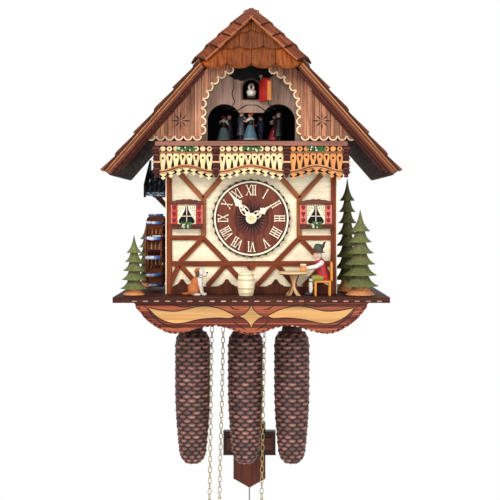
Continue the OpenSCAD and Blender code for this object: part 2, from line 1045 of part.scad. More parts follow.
// Pine cone weight: rings of scales on a rounded body, with a neck and a hook.
module cone_weight(x) {
    rows = 13;
    row_h = (cone_len - 12) / rows;
    r = cone_d / 2;
    profile = [
        for (i = [0 : rows - 1])
            let (
                t = i / (rows - 1),
                taper = 1 - 0.34 * pow(t, 4) - 0.16 * pow(1 - t, 6),
                z = cone_top - 4 - i * row_h
            )
            each [[r * taper * 0.88, z], [r * taper, z - row_h * 0.7]]
    ];
    translate([x, -weight_y, 0]) {
        rotate_extrude()
            polygon(concat(
                [[0, cone_top], [12, cone_top]], profile,
                [[11, cone_bottom + 1], [8, cone_bottom], [0, cone_bottom]]
            ));
        translate([0, 0, cone_top])
            cylinder(r = 9, h = 4);
        translate([0, 0, cone_top + 4])
            cylinder(r = 1.2, h = 7);
        translate([0, 0, cone_top + 15])
            rotate([90, 0, 0])
                rotate_extrude()
                    translate([4.2, 0])
                        circle(r = 1.2, $fn = 24);
    }
}

module music_weight() {
    color(copper) placed() {
        cone_weight(music_x[2]);
        loaded_chain(music_x[2]);
    }
}

module time_weight() {
    color(copper) placed() {
        cone_weight(time_x[2]);
        loaded_chain(time_x[2]);
    }
}

module strike_weight() {
    color(copper) placed() {
        cone_weight(strike_x[2]);
        loaded_chain(strike_x[2]);
    }
}

// Rings of a tube of 8 sides between the points of a route.
tube_sides = 8;
tube_steps = 5;
function route_rings(route) = [
    for (i = [0 : len(route) - 2], k = [0 : tube_steps - 1])
        route[i] + (route[i + 1] - route[i]) * k / tube_steps,
    route[len(route) - 1]
];

module free_chain(route) {
    rings = route_rings(route);
    n = len(rings);
    r = chain_d / 2;
    points = [
        for (p = rings, k = [0 : tube_sides - 1])
            p + [r * cos(k * 360 / tube_sides), r * sin(k * 360 / tube_sides), 0]
    ];
    ends = [
        [for (k = [0 : tube_sides - 1]) k],
        [for (k = [0 : tube_sides - 1]) n * tube_sides - 1 - k]
    ];
    sides = [
        for (i = [0 : n - 2], k = [0 : tube_sides - 1])
            let (
                a = i * tube_sides + k,
                b = i * tube_sides + (k + 1) % tube_sides
            )
            each [[a, a + tube_sides, b], [b, a + tube_sides, b + tube_sides]]
    ];
    polyhedron(points, concat(ends, sides));
}

module music_pull_chain() {
    color(brass) placed()
        free_chain(music_route);
}

module time_pull_chain() {
    color(brass) placed()
        free_chain(time_route);
}

module strike_pull_chain() {
    color(brass) placed()
        free_chain(strike_route);
}

// Folded rest of a free chain below the end of its route, with its pull ring below.
module hank(route) {
    end = route[len(route) - 1];
    x = end[0];
    round_r = hank_w / 2;
    ring_r = 9;
    board(end[1] - hank_d / 2, hank_d) {
        translate([x - round_r, end[2] - hank_len + round_r])
            square([hank_w, hank_len - hank_w]);
        translate([x, end[2] - round_r])
            circle(r = round_r);
        translate([x, end[2] - hank_len + round_r])
            circle(r = round_r);
    }
    translate([x, end[1], end[2] - hank_len - ring_r - 1.4])
        rotate([90, 0, 0])
            rotate_extrude()
                translate([ring_r, 0])
                    circle(r = 1.2, $fn = 24);
}

module music_pull_hank() {
    color(brass) placed()
        hank(music_route);
}

module time_pull_hank() {
    color(brass) placed()
        hank(time_route);
}

module strike_pull_hank() {
    color(brass) placed()
        hank(strike_route);
}

// Cuckoo on its perch, on the slide bar that carries it in and out.
module cuckoo() {
    bird_y = -186;
    bird_z = 264;
    color([0.75, 0.72, 0.68]) placed() {
        translate([0, bird_y, bird_z])
            sphere(r = 6.5);
        translate([0, bird_y - 5, bird_z + 6.5])
            sphere(r = 4.6);
        translate([0, bird_y - 8.5, bird_z + 6.5])
            rotate([90, 0, 0])
                cylinder(r1 = 2, r2 = 0.4, h = 6);
        translate([0, bird_y + 4, bird_z + 2])
            rotate([-70, 0, 0])
                cylinder(r1 = 4.5, r2 = 2.5, h = 16);
        translate([-5, bird_y - 7, 256])
            cube([10, 30, 2.5]);
    }
}

// Shutter door of the cuckoo, drawn open on its hinge pin.
module cuckoo_door() {
    door_t = 6;
    reach = 24.4;
    top = 28;
    color(red) placed()
        translate([door_hinge_x, door_hinge_y, 0])
            rotate(door_open)
                difference() {
                    translate([0, door_t / 2, 0])
                        rotate([90, 0, 0])
                            linear_extrude(door_t)
                                intersection() {
                                    translate([-reach, door_z0 - 1])
                                        square([reach + 1, top]);
                                    translate([-reach / 2 + 0.5, door_z0 + 5])
                                        circle(r = 22, $fn = 96);
                                }
                    translate([0, 0, door_z0 - 5])
                        cylinder(r = door_pin_r + run, h = 40);
                }
}

// Carousel disc with its spindle through the stage floor and its pulley below.
module turntable() {
    disc_t = 4;
    color(wood_dark) placed()
        translate([0, carousel_y, 0]) {
            translate([0, 0, carousel_z])
                cylinder(r = carousel_r, h = disc_t, $fn = 96);
            translate([0, 0, 176])
                cylinder(r = 3, h = carousel_z - 176);
            translate([0, 0, 178])
                cylinder(r = 12, h = 5);
        }
}

// One standing figure: skirt or coat, trunk, arms held forward, head and hat.
module figure(h, skirt_r, hat_r) {
    cylinder(r1 = skirt_r, r2 = skirt_r * 0.5, h = h * 0.55);
    translate([0, 0, h * 0.5])
        cylinder(r1 = 2.8, r2 = 3.4, h = h * 0.27);
    translate([0, 0, h * 0.86])
        sphere(r = 2.9);
    translate([0, 0, h * 0.92])
        cylinder(r = hat_r, h = 0.8);
    translate([0, 0, h * 0.92])
        cylinder(r1 = 2.6, r2 = 1.8, h = h * 0.08);
    for (dx = [-3, 3]) {
        translate([dx, 0, h * 0.7])
            rotate([90, 0, 0])
                cylinder(r = 1, h = 6.5);
    }
}

// Four dancing couples, each pair face to face.
module dancers() {
    color([0.25, 0.27, 0.33]) placed()
        for (a = [-102, -12, 78, 168]) {
            translate([couple_r * cos(a), carousel_y + couple_r * sin(a), carousel_z + 4])
                rotate(a - 20) {
                    translate([0, 7, 0])
                        figure(35, 4.6, 4);
                    translate([0, -7, 0])
                        rotate(180)
                            figure(33, 6.2, 3.2);
                }
        }
}

// Mill wheel with two rims, spokes, buckets and its axle through the side wall.
module water_wheel() {
    buckets = 12;
    rim = 7;
    color(wood_mid) placed() {
        bar_x(wheel_y, wheel_z, axle_r, -149, -92);
        bar_x(wheel_y, wheel_z, 7, wheel_x - wheel_w / 2, wheel_x + wheel_w / 2);
        bar_x(wheel_y, wheel_z, 9, -99, -95);
        for (x = [wheel_x - wheel_w / 2, wheel_x + wheel_w / 2 - 2]) {
            side_board(x, 2)
                translate([wheel_y, wheel_z]) {
                    difference() {
                        circle(r = wheel_r - 5, $fn = 96);
                        circle(r = wheel_r - 5 - rim, $fn = 96);
                    }
                    for (i = [0 : 3]) {
                        rotate(i * 45)
                            square([(wheel_r - 8) * 2, 3.4], center = true);
                    }
                }
        }
        side_board(wheel_x - wheel_w / 2 + 2, wheel_w - 4)
            translate([wheel_y, wheel_z])
                for (i = [0 : buckets - 1]) {
                    rotate(i * 360 / buckets)
                        translate([wheel_r - 13, -1])
                            square([13, 2]);
                }
    }
}

// Sloping open trough above the wheel, with its prop from the house wall.
module water_trough() {
    color(wood_dark) placed() {
        for (x = [-146, -113.7]) {
            side_board(x, 3)
                polygon([[-140, 127], [-60, 162], [-60, 182], [-140, 145]]);
        }
        side_board(-143, 29.3)
            polygon([[-140, 129], [-60, 164], [-60, 167], [-140, 132]]);
        side_board(-116, 116 - half_w)
            polygon([[-112, 118], [-106, 118], [-76, 155.5], [-84, 151.5]]);
    }
}

// Turned fir tree: a flared root, then tiers of carved branches.
module tree(x, y, top, r, tiers) {
    root_h = top * 0.1;
    tier_h = (top - root_h) / (tiers + 0.4);
    edge = [
        for (i = [0 : tiers - 1])
            let (
                z = root_h + i * tier_h,
                tier_r = r * (1 - 0.78 * i / tiers)
            )
            each [[tier_r, z], [tier_r * 0.5, z + tier_h]]
    ];
    translate([x, y, 0])
        rotate_extrude()
            polygon(concat(
                [[0, 0], [r * 0.72, 0], [r * 0.42, root_h]], edge, [[0, top]]
            ));
}

module trees() {
    color(tree_light) placed() {
        tree(141.7, -195, 110, 23.7, 6);
        tree(131, -130, 152.6, 18, 8);
        tree(-152.5, -195, 77, 17.4, 5);
        tree(-152, -47, 91, 15, 6);
    }
}

// Sitting dog looking to the right.
module dog() {
    color([0.55, 0.27, 0.15]) placed()
        translate([-68, -210, 0]) {
            translate([-4, 0, 0])
                cylinder(r = 9, h = 3);
            translate([-5, 0, 9.5])
                sphere(r = 9.5);
            translate([-2, 0, 12])
                cylinder(r1 = 8, r2 = 5.5, h = 14);
            translate([2, 0, 29])
                sphere(r = 7);
            translate([7, 0, 27])
                rotate([0, 90, 0])
                    cylinder(r = 3, h = 6);
            for (dy = [-3.4, 3.4]) {
                translate([4, dy, 0])
                    cylinder(r = 2.2, h = 20);
            }
            translate([-20, 3, 1.6])
                rotate([0, 90, 0])
                    cylinder(r = 1.6, h = 10);
        }
}

module barrel() {
    color(tan_wood) placed()
        translate([-6.7, -210, 0])
            rotate_extrude()
                intersection() {
                    translate([0, 0])
                        square([12, 30]);
                    translate([-76, 15])
                        circle(r = 87.3, $fn = 180);
                }
}

// Round table on a crossed pedestal, and the chair beside it.
module furniture() {
    color(tan_wood) placed() {
        translate([54.3, -210, 28])
            cylinder(r = 20, h = 2.7);
        translate([54.3, -210, 2])
            cylinder(r1 = 3, r2 = 4.5, h = 26);
        for (a = [45, -45]) {
            translate([54.3, -210, 0])
                rotate(a)
                    translate([-12, -1.5, 0])
                        cube([24, 3, 4]);
        }
        translate([81, -218, 17])
            cube([21, 16, 2.5]);
        for (x = [81, 99], y = [-218, -204.5]) {
            translate([x, y, 0])
                cube([2.5, 2.5, 17]);
        }
        translate([101.5, -218, 19.5])
            cube([2.5, 16, 24]);
    }
}

// Seated man without his drinking arm.
module drinker() {
    y = -210;
    color([0.45, 0.15, 0.12]) placed() {
        translate([93, y, 19.8])
            cylinder(r = 6.5, h = 10);
        translate([93, y, 29.5])
            rotate([0, -14, 0])
                cylinder(r1 = 6.2, r2 = 5, h = 16);
        translate([84.5, y, 52])
            sphere(r = 6);
        translate([85, y, 56.5])
            cylinder(r = 9, h = 1.2);
        translate([85.5, y, 57.5])
            cylinder(r1 = 6, r2 = 3.5, h = 10);
        bar_y(90, 42, 0.8, -219.6, -213);
        translate([89, y + 4.4, 41])
            rotate([0, -112, 0])
                cylinder(r1 = 2.2, r2 = 1.6, h = 18);
        for (dy = [-3.6, 3.6]) {
            translate([76, y + dy, 22.8])
                rotate([0, 90, 0])
                    cylinder(r = 2.8, h = 17);
            translate([76.4, y + dy, 1])
                cylinder(r = 2.3, h = 21);
            translate([70, y + dy - 2, 0])
                cube([9, 4, 3]);
        }
    }
}

// Drinking arm with the beer mug, hinged at the shoulder.
module drinker_arm() {
    color(tan_wood) placed() {
        difference() {
            union() {
                bar_y(90, 42, 2.4, -218.8, -215.7);
                translate([90, -217.4, 42])
                    rotate([0, -105.9, 0])
                        cylinder(r1 = 1.6, r2 = 1.5, h = 21.5);
            }
            bar_y(90, 42, 0.8 + run, -220, -212);
        }
        translate([67, -214, 31])
            cylinder(r = 4.6, h = 9);
    }
}

back_panel();
hanger_plate();
side_wall_left();
side_wall_right();
facade_panel();
timber_frame();
inner_gable();
gable_board();
stage_floor();
balcony_posts();
balcony_rails();
balcony_balusters();
roof_board_left();
roof_board_right();
hip_board();
shingles();
hip_shingles();
ridge_cap();
base_platform();
front_apron();
window_left();
window_right();
dial_plate();
dial_ring();
minute_hand();
hour_hand();
minute_arbor();
hour_pipe();
movement_frame();
music_cylinder();
music_sprocket();
time_sprocket();
strike_sprocket();
anchor();
pendulum_rod();
pendulum_bob();
whistles();
bellows_top_left();
bellows_top_right();
music_weight();
time_weight();
strike_weight();
music_pull_chain();
time_pull_chain();
strike_pull_chain();
music_pull_hank();
time_pull_hank();
strike_pull_hank();
cuckoo();
cuckoo_door();
turntable();
dancers();
water_wheel();
water_trough();
trees();
dog();
barrel();
furniture();
drinker();
drinker_arm();
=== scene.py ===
# Musical chalet cuckoo clock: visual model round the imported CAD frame.
# Shapes are drawn in millimetres over the platform top, and placed in metres
# under the hanger bore, which is the frame's origin.
import bpy
import bmesh
import math
import random
from mathutils import Matrix, Vector


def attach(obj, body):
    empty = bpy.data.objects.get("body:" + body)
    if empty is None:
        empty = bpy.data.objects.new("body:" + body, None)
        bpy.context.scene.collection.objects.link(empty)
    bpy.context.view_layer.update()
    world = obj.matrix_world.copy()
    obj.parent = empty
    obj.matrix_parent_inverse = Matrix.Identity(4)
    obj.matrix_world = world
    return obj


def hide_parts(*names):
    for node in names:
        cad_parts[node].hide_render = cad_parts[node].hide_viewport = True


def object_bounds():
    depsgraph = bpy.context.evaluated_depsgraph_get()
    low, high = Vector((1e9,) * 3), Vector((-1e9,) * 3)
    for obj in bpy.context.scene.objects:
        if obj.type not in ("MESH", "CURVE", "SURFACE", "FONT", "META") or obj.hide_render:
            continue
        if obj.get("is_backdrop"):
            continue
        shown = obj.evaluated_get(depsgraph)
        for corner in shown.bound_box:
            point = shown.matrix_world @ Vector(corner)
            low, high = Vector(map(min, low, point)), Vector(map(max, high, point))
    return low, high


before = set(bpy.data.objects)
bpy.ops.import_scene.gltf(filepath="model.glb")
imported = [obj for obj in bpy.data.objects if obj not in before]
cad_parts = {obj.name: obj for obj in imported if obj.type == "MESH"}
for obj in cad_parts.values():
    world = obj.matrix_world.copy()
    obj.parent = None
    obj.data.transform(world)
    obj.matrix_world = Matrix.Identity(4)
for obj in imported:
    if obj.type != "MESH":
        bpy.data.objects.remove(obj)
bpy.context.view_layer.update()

MM = 0.001
HANGER_Z = 290.0
sin, cos, pi = math.sin, math.cos, math.pi
ACROSS, DEEP, UP = (1, 0, 0), (0, 1, 0), (0, 0, 1)


def srgb(r, g, b):
    """Linear colour of an sRGB one written in 0 to 255."""
    return tuple(
        c / 12.92 if c <= 0.04045 else ((c + 0.055) / 1.055) ** 2.4
        for c in (r / 255, g / 255, b / 255)
    )


def toned(colour, k):
    """The colour k times as bright."""
    return tuple(c * k for c in colour)


def mixed(a, b, t):
    """The colour a share t of the way from a to b."""
    return tuple(u + (v - u) * t for u, v in zip(a, b))


def place(p):
    """A point in mm over the platform top, in the frame's metres."""
    return Vector((p[0] * MM, p[1] * MM, (p[2] - HANGER_Z) * MM))


# ---------------------------------------------------------------- shapes
# A shape is (points in mm, faces).


def moved(shape, d=(0, 0, 0), turn=None):
    """The shape turned about the origin, then shifted by d."""
    points, faces = shape
    points = [Vector(p) for p in points]
    if turn is not None:
        points = [turn @ p for p in points]
    return [p + Vector(d) for p in points], faces


def flipped(shape):
    """The mirror image at x = 0."""
    points, faces = shape
    return [Vector((-p[0], p[1], p[2])) for p in points], [f[::-1] for f in faces]


def unmoved(shape):
    return shape


BOTH_SIDES = (unmoved, flipped)


def merged(*shapes):
    """Several shapes as one."""
    points, faces = [], []
    for s in shapes:
        n = len(points)
        points += [Vector(p) for p in s[0]]
        faces += [[i + n for i in f] for f in s[1]]
    return points, faces


def spin(axis, degrees):
    return Matrix.Rotation(math.radians(degrees), 3, axis)


def block(x0, x1, y0, y1, z0, z1):
    points = [(x, y, z) for x in (x0, x1) for y in (y0, y1) for z in (z0, z1)]
    faces = [(0, 1, 3, 2), (4, 6, 7, 5), (0, 4, 5, 1), (2, 3, 7, 6), (0, 2, 6, 4), (1, 5, 7, 3)]
    return points, faces


def skin(rings, closed=False, caps=True):
    """Faces between rings of equally many points."""
    n = len(rings[0])
    points = [p for r in rings for p in r]
    faces = []
    count = len(rings)
    for i in range(count if closed else count - 1):
        j = (i + 1) % count
        for k in range(n):
            m = (k + 1) % n
            faces.append((i * n + k, i * n + m, j * n + m, j * n + k))
    if caps and not closed:
        faces.append(tuple(range(n))[::-1])
        faces.append(tuple((count - 1) * n + k for k in range(n)))
    return points, faces


def plate(outline, y0, y1):
    """A board parallel to the wall: outline of (x, z), between two depths."""
    return skin([[(x, y0, z) for x, z in outline], [(x, y1, z) for x, z in outline]])


def side_plate(outline, x0, x1):
    """A board square to the wall: outline of (y, z), between two sides."""
    return skin([[(x0, y, z) for y, z in outline], [(x1, y, z) for y, z in outline]])


def mirrored_outline(half):
    """A closed outline from its right half, which starts and ends on x = 0."""
    return half + [(-x, z) for x, z in half[-2:0:-1]]


def ring_of(r, n=24, c=(0, 0), start=0.0, rz=None):
    rz = r if rz is None else rz
    return [
        (c[0] + r * cos(start + 2 * pi * i / n), c[1] + rz * sin(start + 2 * pi * i / n))
        for i in range(n)
    ]


def fret(outlines, y0, y1, edge=0.25):
    """A board cut from closed outlines of (x, z), inner ones being holes, with eased edges."""
    curve = bpy.data.curves.new("fret", "CURVE")
    curve.dimensions, curve.fill_mode = "2D", "BOTH"
    curve.extrude = abs(y1 - y0) / 2 - edge
    curve.bevel_depth, curve.bevel_resolution, curve.offset = edge, 0, -edge
    for outline in outlines:
        s = curve.splines.new("POLY")
        s.points.add(len(outline) - 1)
        for p, (x, z) in zip(s.points, outline):
            p.co = (x, z, 0, 1)
        s.use_cyclic_u = True
    ob = bpy.data.objects.new("fret", curve)
    me = bpy.data.meshes.new_from_object(ob)
    middle = (y0 + y1) / 2
    points = [Vector((v.co.x, middle - v.co.z, v.co.y)) for v in me.vertices]
    faces = [tuple(p.vertices) for p in me.polygons]
    bpy.data.objects.remove(ob)
    bpy.data.curves.remove(curve)
    bpy.data.meshes.remove(me)
    return points, faces


def lathe(profile, centre=(0, 0, 0), n=24, turn=None):
    """Profile of (radius, height) turned about the vertical through centre."""
    rings = []
    for r, h in profile:
        rings.append([Vector((r * cos(2 * pi * k / n), r * sin(2 * pi * k / n), h)) for k in range(n)])
    return moved(skin(rings), centre, turn)


def ball(centre, r, n=16, turn=None):
    """An ellipsoid with radii r = (rx, ry, rz)."""
    r = (r, r, r) if isinstance(r, (int, float)) else r
    rows = max(6, n // 2)
    rings = []
    for i in range(rows + 1):
        a = -pi / 2 + pi * min(max(i / rows, 0.02), 0.98)
        rings.append([
            Vector((r[0] * cos(a) * cos(2 * pi * k / n), r[1] * cos(a) * sin(2 * pi * k / n),
                    r[2] * sin(a)))
            for k in range(n)
        ])
    return moved(skin(rings), centre, turn)


def tube(path, r, n=8, closed=False, flat=1.0):
    """A round rod along points; r is one radius or one for each point."""
    path = [Vector(p) for p in path]
    count = len(path)
    radii = r if isinstance(r, (list, tuple)) else [r] * count
    rings, up = [], None
    for i, p in enumerate(path):
        a = path[(i - 1) % count] if closed or i else p
        b = path[(i + 1) % count] if closed or i < count - 1 else p
        t = (b - a).normalized()
        if up is None:
            up = Vector((0, 1, 0)) if abs(t.y) < 0.9 else Vector((1, 0, 0))
        side = t.cross(up).normalized()
        up = side.cross(t).normalized()
        rings.append([
            p + side * radii[i] * cos(2 * pi * k / n) + up * radii[i] * flat * sin(2 * pi * k / n)
            for k in range(n)
        ])
    return skin(rings, closed=closed)


def bar(a, b, w, y0, y1):
    """A straight board of width w from (x, z) a to b."""
    dx, dz = b[0] - a[0], b[1] - a[1]
    k = w / 2 / math.hypot(dx, dz)
    nx, nz = -dz * k, dx * k
    return plate([(a[0] + nx, a[1] + nz), (b[0] + nx, b[1] + nz), (b[0] - nx, b[1] - nz),
                  (a[0] - nx, a[1] - nz)], y0, y1)


def trimmed(outline, *tests):
    """A convex outline cut by each test in turn."""
    for inside in tests:
        outline = clip(outline, inside)
    return outline


def clip(outline, inside):
    """The part of a convex outline where inside(point) is not negative."""
    out = []
    for i, p in enumerate(outline):
        q = outline[(i + 1) % len(outline)]
        a, b = inside(p), inside(q)
        if a >= 0:
            out.append(p)
        if a * b < 0:
            t = a / (a - b)
            out.append((p[0] + (q[0] - p[0]) * t, p[1] + (q[1] - p[1]) * t))
    return out


def flat_curve(points, step):
    """A smooth curve through (x, z) points, in even steps."""
    return [(p.x, p.z) for p in resampled([Vector((x, 0, z)) for x, z in points], step)]


def stroke(points, width, thin, step, y0, y1):
    """A cut line along (x, z) points, narrowed at both ends to the share thin of its width."""
    path = resampled([Vector((x, 0, z)) for x, z in points], step)
    last = len(path) - 1
    left, right = [], []
    for i, p in enumerate(path):
        t = (path[min(i + 1, last)] - path[max(i - 1, 0)]).normalized()
        k = width / 2 * (thin + (1 - thin) * sin(pi * min(max(i / last, 0.02), 0.98)))
        left.append((p.x - t.z * k, p.z + t.x * k))
        right.append((p.x + t.z * k, p.z - t.x * k))
    return plate(left + right[::-1], y0, y1)


def resampled(points, step):
    """A smooth curve through points, cut into even steps."""
    pts = [Vector(p) for p in points]
    ends = [pts[0] * 2 - pts[1]] + pts + [pts[-1] * 2 - pts[-2]]
    fine = []
    for i in range(len(pts) - 1):
        a, b, c, d = ends[i:i + 4]
        for k in range(24):
            t = k / 24
            fine.append(
                (b * 2 + (c - a) * t + (a * 2 - b * 5 + c * 4 - d) * t * t
                 + (b * 3 - a - c * 3 + d) * t * t * t) / 2
            )
    fine.append(pts[-1])
    out, left = [fine[0]], step
    for a, b in zip(fine, fine[1:]):
        length = (b - a).length
        at = 0.0
        while length - at >= left:
            at += left
            out.append(a + (b - a) * (at / length))
            left = step
        left -= length - at
    if (fine[-1] - out[-1]).length > step * 0.4:
        out.append(fine[-1])
    return out


# ---------------------------------------------------------------- pieces


class Piece:
    """Collects shapes into one object, each with its colour and its grain direction."""

    def __init__(self, name):
        self.name, self.rand = name, random.Random(name)
        self.points, self.faces, self.colours, self.grain = [], [], [], []

    def add(self, shape, colour, along=ACROSS, vary=0.08):
        points, faces = shape
        n = len(self.points)
        k = 1 + self.rand.uniform(-vary, vary)
        a = Vector(along).normalized()
        b = a.orthogonal().normalized()
        c = a.cross(b)
        off = Vector([self.rand.uniform(-1, 1) for _ in range(3)])
        many = len(colour) == len(points) and len(points) != 3
        for i, p in enumerate(points):
            q = place(p)
            self.points.append(q)
            self.grain.append((q.dot(a) + off.x, q.dot(b) + off.y, q.dot(c) + off.z))
            base = colour[i] if many else colour
            self.colours.append((base[0] * k, base[1] * k, base[2] * k, 1))
        self.faces += [tuple(i + n for i in f) for f in faces]
        return self

    def lower(self, drop):
        """Moves the whole piece down by so many millimetres."""
        self.points = [(x, y, z - drop * MM) for x, y, z in self.points]

    def make(self, body, material, stands_for=(), slot=None, bevel=0.0, angle=38, weld=True):
        """Builds the mesh, hands it to its body, and hides the CAD nodes it stands for."""
        me = bpy.data.meshes.new(self.name)
        me.from_pydata(self.points, [], self.faces)
        me.materials.append(material)
        a = me.attributes.new("grain", "FLOAT_VECTOR", "POINT")
        a.data.foreach_set("vector", [x for g in self.grain for x in g])
        a = me.attributes.new("col", "FLOAT_COLOR", "POINT")
        a.data.foreach_set("color", [x for c in self.colours for x in c])
        bm = bmesh.new()
        bm.from_mesh(me)
        if weld:
            bmesh.ops.remove_doubles(bm, verts=bm.verts, dist=2e-6)
            bmesh.ops.dissolve_degenerate(bm, edges=bm.edges, dist=1e-6)
        bmesh.ops.recalc_face_normals(bm, faces=bm.faces)
        bm.to_mesh(me)
        bm.free()
        me.shade_smooth()
        me.set_sharp_from_angle(angle=math.radians(angle))
        ob = bpy.data.objects.new(self.name, me)
        bpy.context.scene.collection.objects.link(ob)
        if bevel:
            m = ob.modifiers.new("bevel", "BEVEL")
            m.width, m.segments, m.limit_method = bevel * MM, 2, "ANGLE"
            m.angle_limit = math.radians(40)
        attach(ob, body)
        if stands_for:
            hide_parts(*stands_for)
        return ob


# ---------------------------------------------------------------- materials


class Nodes:
    """Short hand for building a node material."""

    def __init__(self, name):
        self.mat = bpy.data.materials.new(name)
        self.mat.use_nodes = True
        self.tree = self.mat.node_tree
        self.shader = self.tree.nodes["Principled BSDF"]

    def node(self, kind, **inputs):
        n = self.tree.nodes.new("ShaderNode" + kind)
        for key, value in inputs.items():
            key = key.replace("_", " ")
            if isinstance(value, bpy.types.NodeSocket):
                self.tree.links.new(value, n.inputs[key])
            else:
                n.inputs[key].default_value = value
        return n

    def coords(self, scale, attribute="grain"):
        if attribute:
            n = self.tree.nodes.new("ShaderNodeAttribute")
            n.attribute_name = attribute
            source = n.outputs["Vector"]
        else:
            source = self.tree.nodes.new("ShaderNodeTexCoord").outputs["Object"]
        return self.node("Mapping", Vector=source, Scale=scale).outputs[0]

    def noise(self, vector, scale=1.0, detail=5.0, rough=0.6, distortion=0.0):
        return self.node(
            "TexNoise", Vector=vector, Scale=scale, Detail=detail, Roughness=rough, Distortion=distortion
        ).outputs["Fac"]

    def span(self, value, low, high, to_low=0.0, to_high=1.0):
        n = self.node("MapRange", Value=value)
        for key, x in zip(("From Min", "From Max", "To Min", "To Max"), (low, high, to_low, to_high)):
            n.inputs[key].default_value = x
        return n.outputs[0]

    def blend(self, how, factor, a, b):
        n = self.tree.nodes.new("ShaderNodeMix")
        n.data_type, n.blend_type = "RGBA", how
        for key, value in (("Factor_Float", factor), ("A_Color", a), ("B_Color", b)):
            socket = next(s for s in n.inputs if s.identifier == key)
            if isinstance(value, bpy.types.NodeSocket):
                self.tree.links.new(value, socket)
            else:
                socket.default_value = value if isinstance(value, float) else (*value, 1)
        return next(s for s in n.outputs if s.identifier == "Result_Color")

    def colour(self):
        n = self.tree.nodes.new("ShaderNodeAttribute")
        n.attribute_name = "col"
        return n.outputs["Color"]

    def plain(self, colour):
        n = self.tree.nodes.new("ShaderNodeRGB")
        n.outputs[0].default_value = (*colour, 1)
        return n.outputs[0]

    def bump(self, height, strength, distance):
        n = self.node("Bump", Height=height, Strength=strength, Distance=distance)
        self.tree.links.new(n.outputs[0], self.shader.inputs["Normal"])

    def done(self, colour, rough, metal=0.0, coat=0.0, spec=0.5):
        self.tree.links.new(colour, self.shader.inputs["Base Color"])
        self.tree.links.new(rough, self.shader.inputs["Roughness"])
        self.shader.inputs["Metallic"].default_value = metal
        self.shader.inputs["Coat Weight"].default_value = coat
        self.shader.inputs["Coat Roughness"].default_value = 0.3
        self.shader.inputs["Specular IOR Level"].default_value = spec
        return self.mat


def wood(name, grain=(14, 260, 260), dark=(0.35, 0.25, 0.2), streak=0.6, pores=0.45,
         rough=(0.45, 0.65), bump=0.35, coat=0.0, base=None, bands=None, spec=0.2):
    """Wood whose grain runs along each shape; base is a colour where the mesh has none."""
    n = Nodes(name)
    at = n.coords(grain, "grain" if base is None else None)
    broad = n.noise(at, 1.0, 4.0, 0.55, 0.6)
    fine = n.noise(at, 4.2, 6.0, 0.7, 0.2)
    wide = n.noise(at, 0.22, 2.0, 0.5, 0.3)
    colour = n.colour() if base is None else n.plain(base)
    if bands is not None:
        colour = n.blend("MULTIPLY", n.span(n.noise(at, 0.6, 2.0, 0.5, 0.2), 0.44, 0.51), colour, bands)
    colour = n.blend("MULTIPLY", n.span(broad, 0.42, 0.68, 0.0, streak), colour, dark)
    colour = n.blend("MULTIPLY", n.span(fine, 0.5, 0.72, 0.0, pores), colour, toned(dark, 0.6))
    colour = n.blend("MULTIPLY", n.span(wide, 0.45, 0.75), colour, (1.3, 1.24, 1.16))
    n.bump(fine, bump, 0.0004)
    return n.done(colour, n.span(broad, 0.3, 0.7, rough[0], rough[1]), coat=coat, spec=spec)


def paint(name, rough=(0.4, 0.6), mottle=0.35, scale=180.0, coat=0.1, bump=0.15):
    """Hand-painted wood or resin: thin brush streaks and darker hollows of wash."""
    n = Nodes(name)
    at = n.coords((1, 1, 1), None)
    wash = n.noise(at, scale, 4.0, 0.6, 0.5)
    brush = n.noise(n.coords((900, 900, 160), None), 1.0, 3.0, 0.6)
    colour = n.blend("MULTIPLY", n.span(wash, 0.4, 0.75, 0.0, mottle), n.colour(), (0.4, 0.32, 0.3))
    colour = n.blend("MULTIPLY", n.span(brush, 0.5, 0.8), colour, (1.4, 1.4, 1.35))
    n.bump(brush, bump, 0.0004)
    return n.done(colour, n.span(wash, 0.3, 0.7, rough[0], rough[1]), coat=coat, spec=0.3)


def metal(name, rough=(0.25, 0.45), tarnish=(0.3, 0.2, 0.1), amount=0.6, scale=300.0, grit=1800.0,
          metallic=1.0, base=None):
    """Metal with dull spots; base is a colour where the mesh has none."""
    n = Nodes(name)
    at = n.coords((1, 1, 1), None)
    spots = n.noise(at, scale, 5.0, 0.65, 0.4)
    colour = n.colour() if base is None else n.plain(base)
    colour = n.blend("MULTIPLY", n.span(spots, 0.45, 0.7, 0.0, amount), colour, tarnish)
    n.bump(n.noise(at, grit, 2.0), 0.12, 0.0002)
    return n.done(colour, n.span(spots, 0.3, 0.7, rough[0], rough[1]), metal=metallic)


WOOD = wood("stained_wood", streak=0.75)
ROOF_WOOD = wood("shingle_wood", grain=(16, 330, 330), streak=0.85, pores=0.6, dark=(0.28, 0.14, 0.1),
                 rough=(0.4, 0.6), bump=0.6, coat=0.06)
GABLE_WOOD = wood("gable_wood", grain=(18, 420, 420), streak=0.75, pores=0.7, dark=(0.3, 0.2, 0.17),
                  rough=(0.5, 0.7), bump=0.7)
CREAM_WOOD = wood("cream_wood", grain=(12, 220, 220), dark=(0.78, 0.68, 0.5), streak=0.5, pores=0.35,
                  rough=(0.5, 0.68), bump=0.2)
STRIPED_WOOD = wood("striped_wood", grain=(1.5, 330, 330), dark=(0.3, 0.13, 0.1), streak=0.8, pores=0.4,
                    bands=(0.3, 0.17, 0.15),
                    rough=(0.35, 0.5), bump=0.4, coat=0.12)
TURNED_WOOD = wood("branch_wood", grain=(60, 500, 500), dark=(0.4, 0.42, 0.3), streak=0.7, pores=0.6,
                   rough=(0.5, 0.7), bump=0.5)
PAINT = paint("figure_paint")
WALL_PAINT = paint("part_paint", mottle=0.2, scale=90.0)
PLASTIC = paint("cream_plastic", rough=(0.3, 0.42), mottle=0.1, scale=70.0, coat=0.15, bump=0.05)
BRASS = metal("brass")
STEEL = metal("steel", tarnish=(0.6, 0.55, 0.5), amount=0.4, rough=(0.22, 0.4))
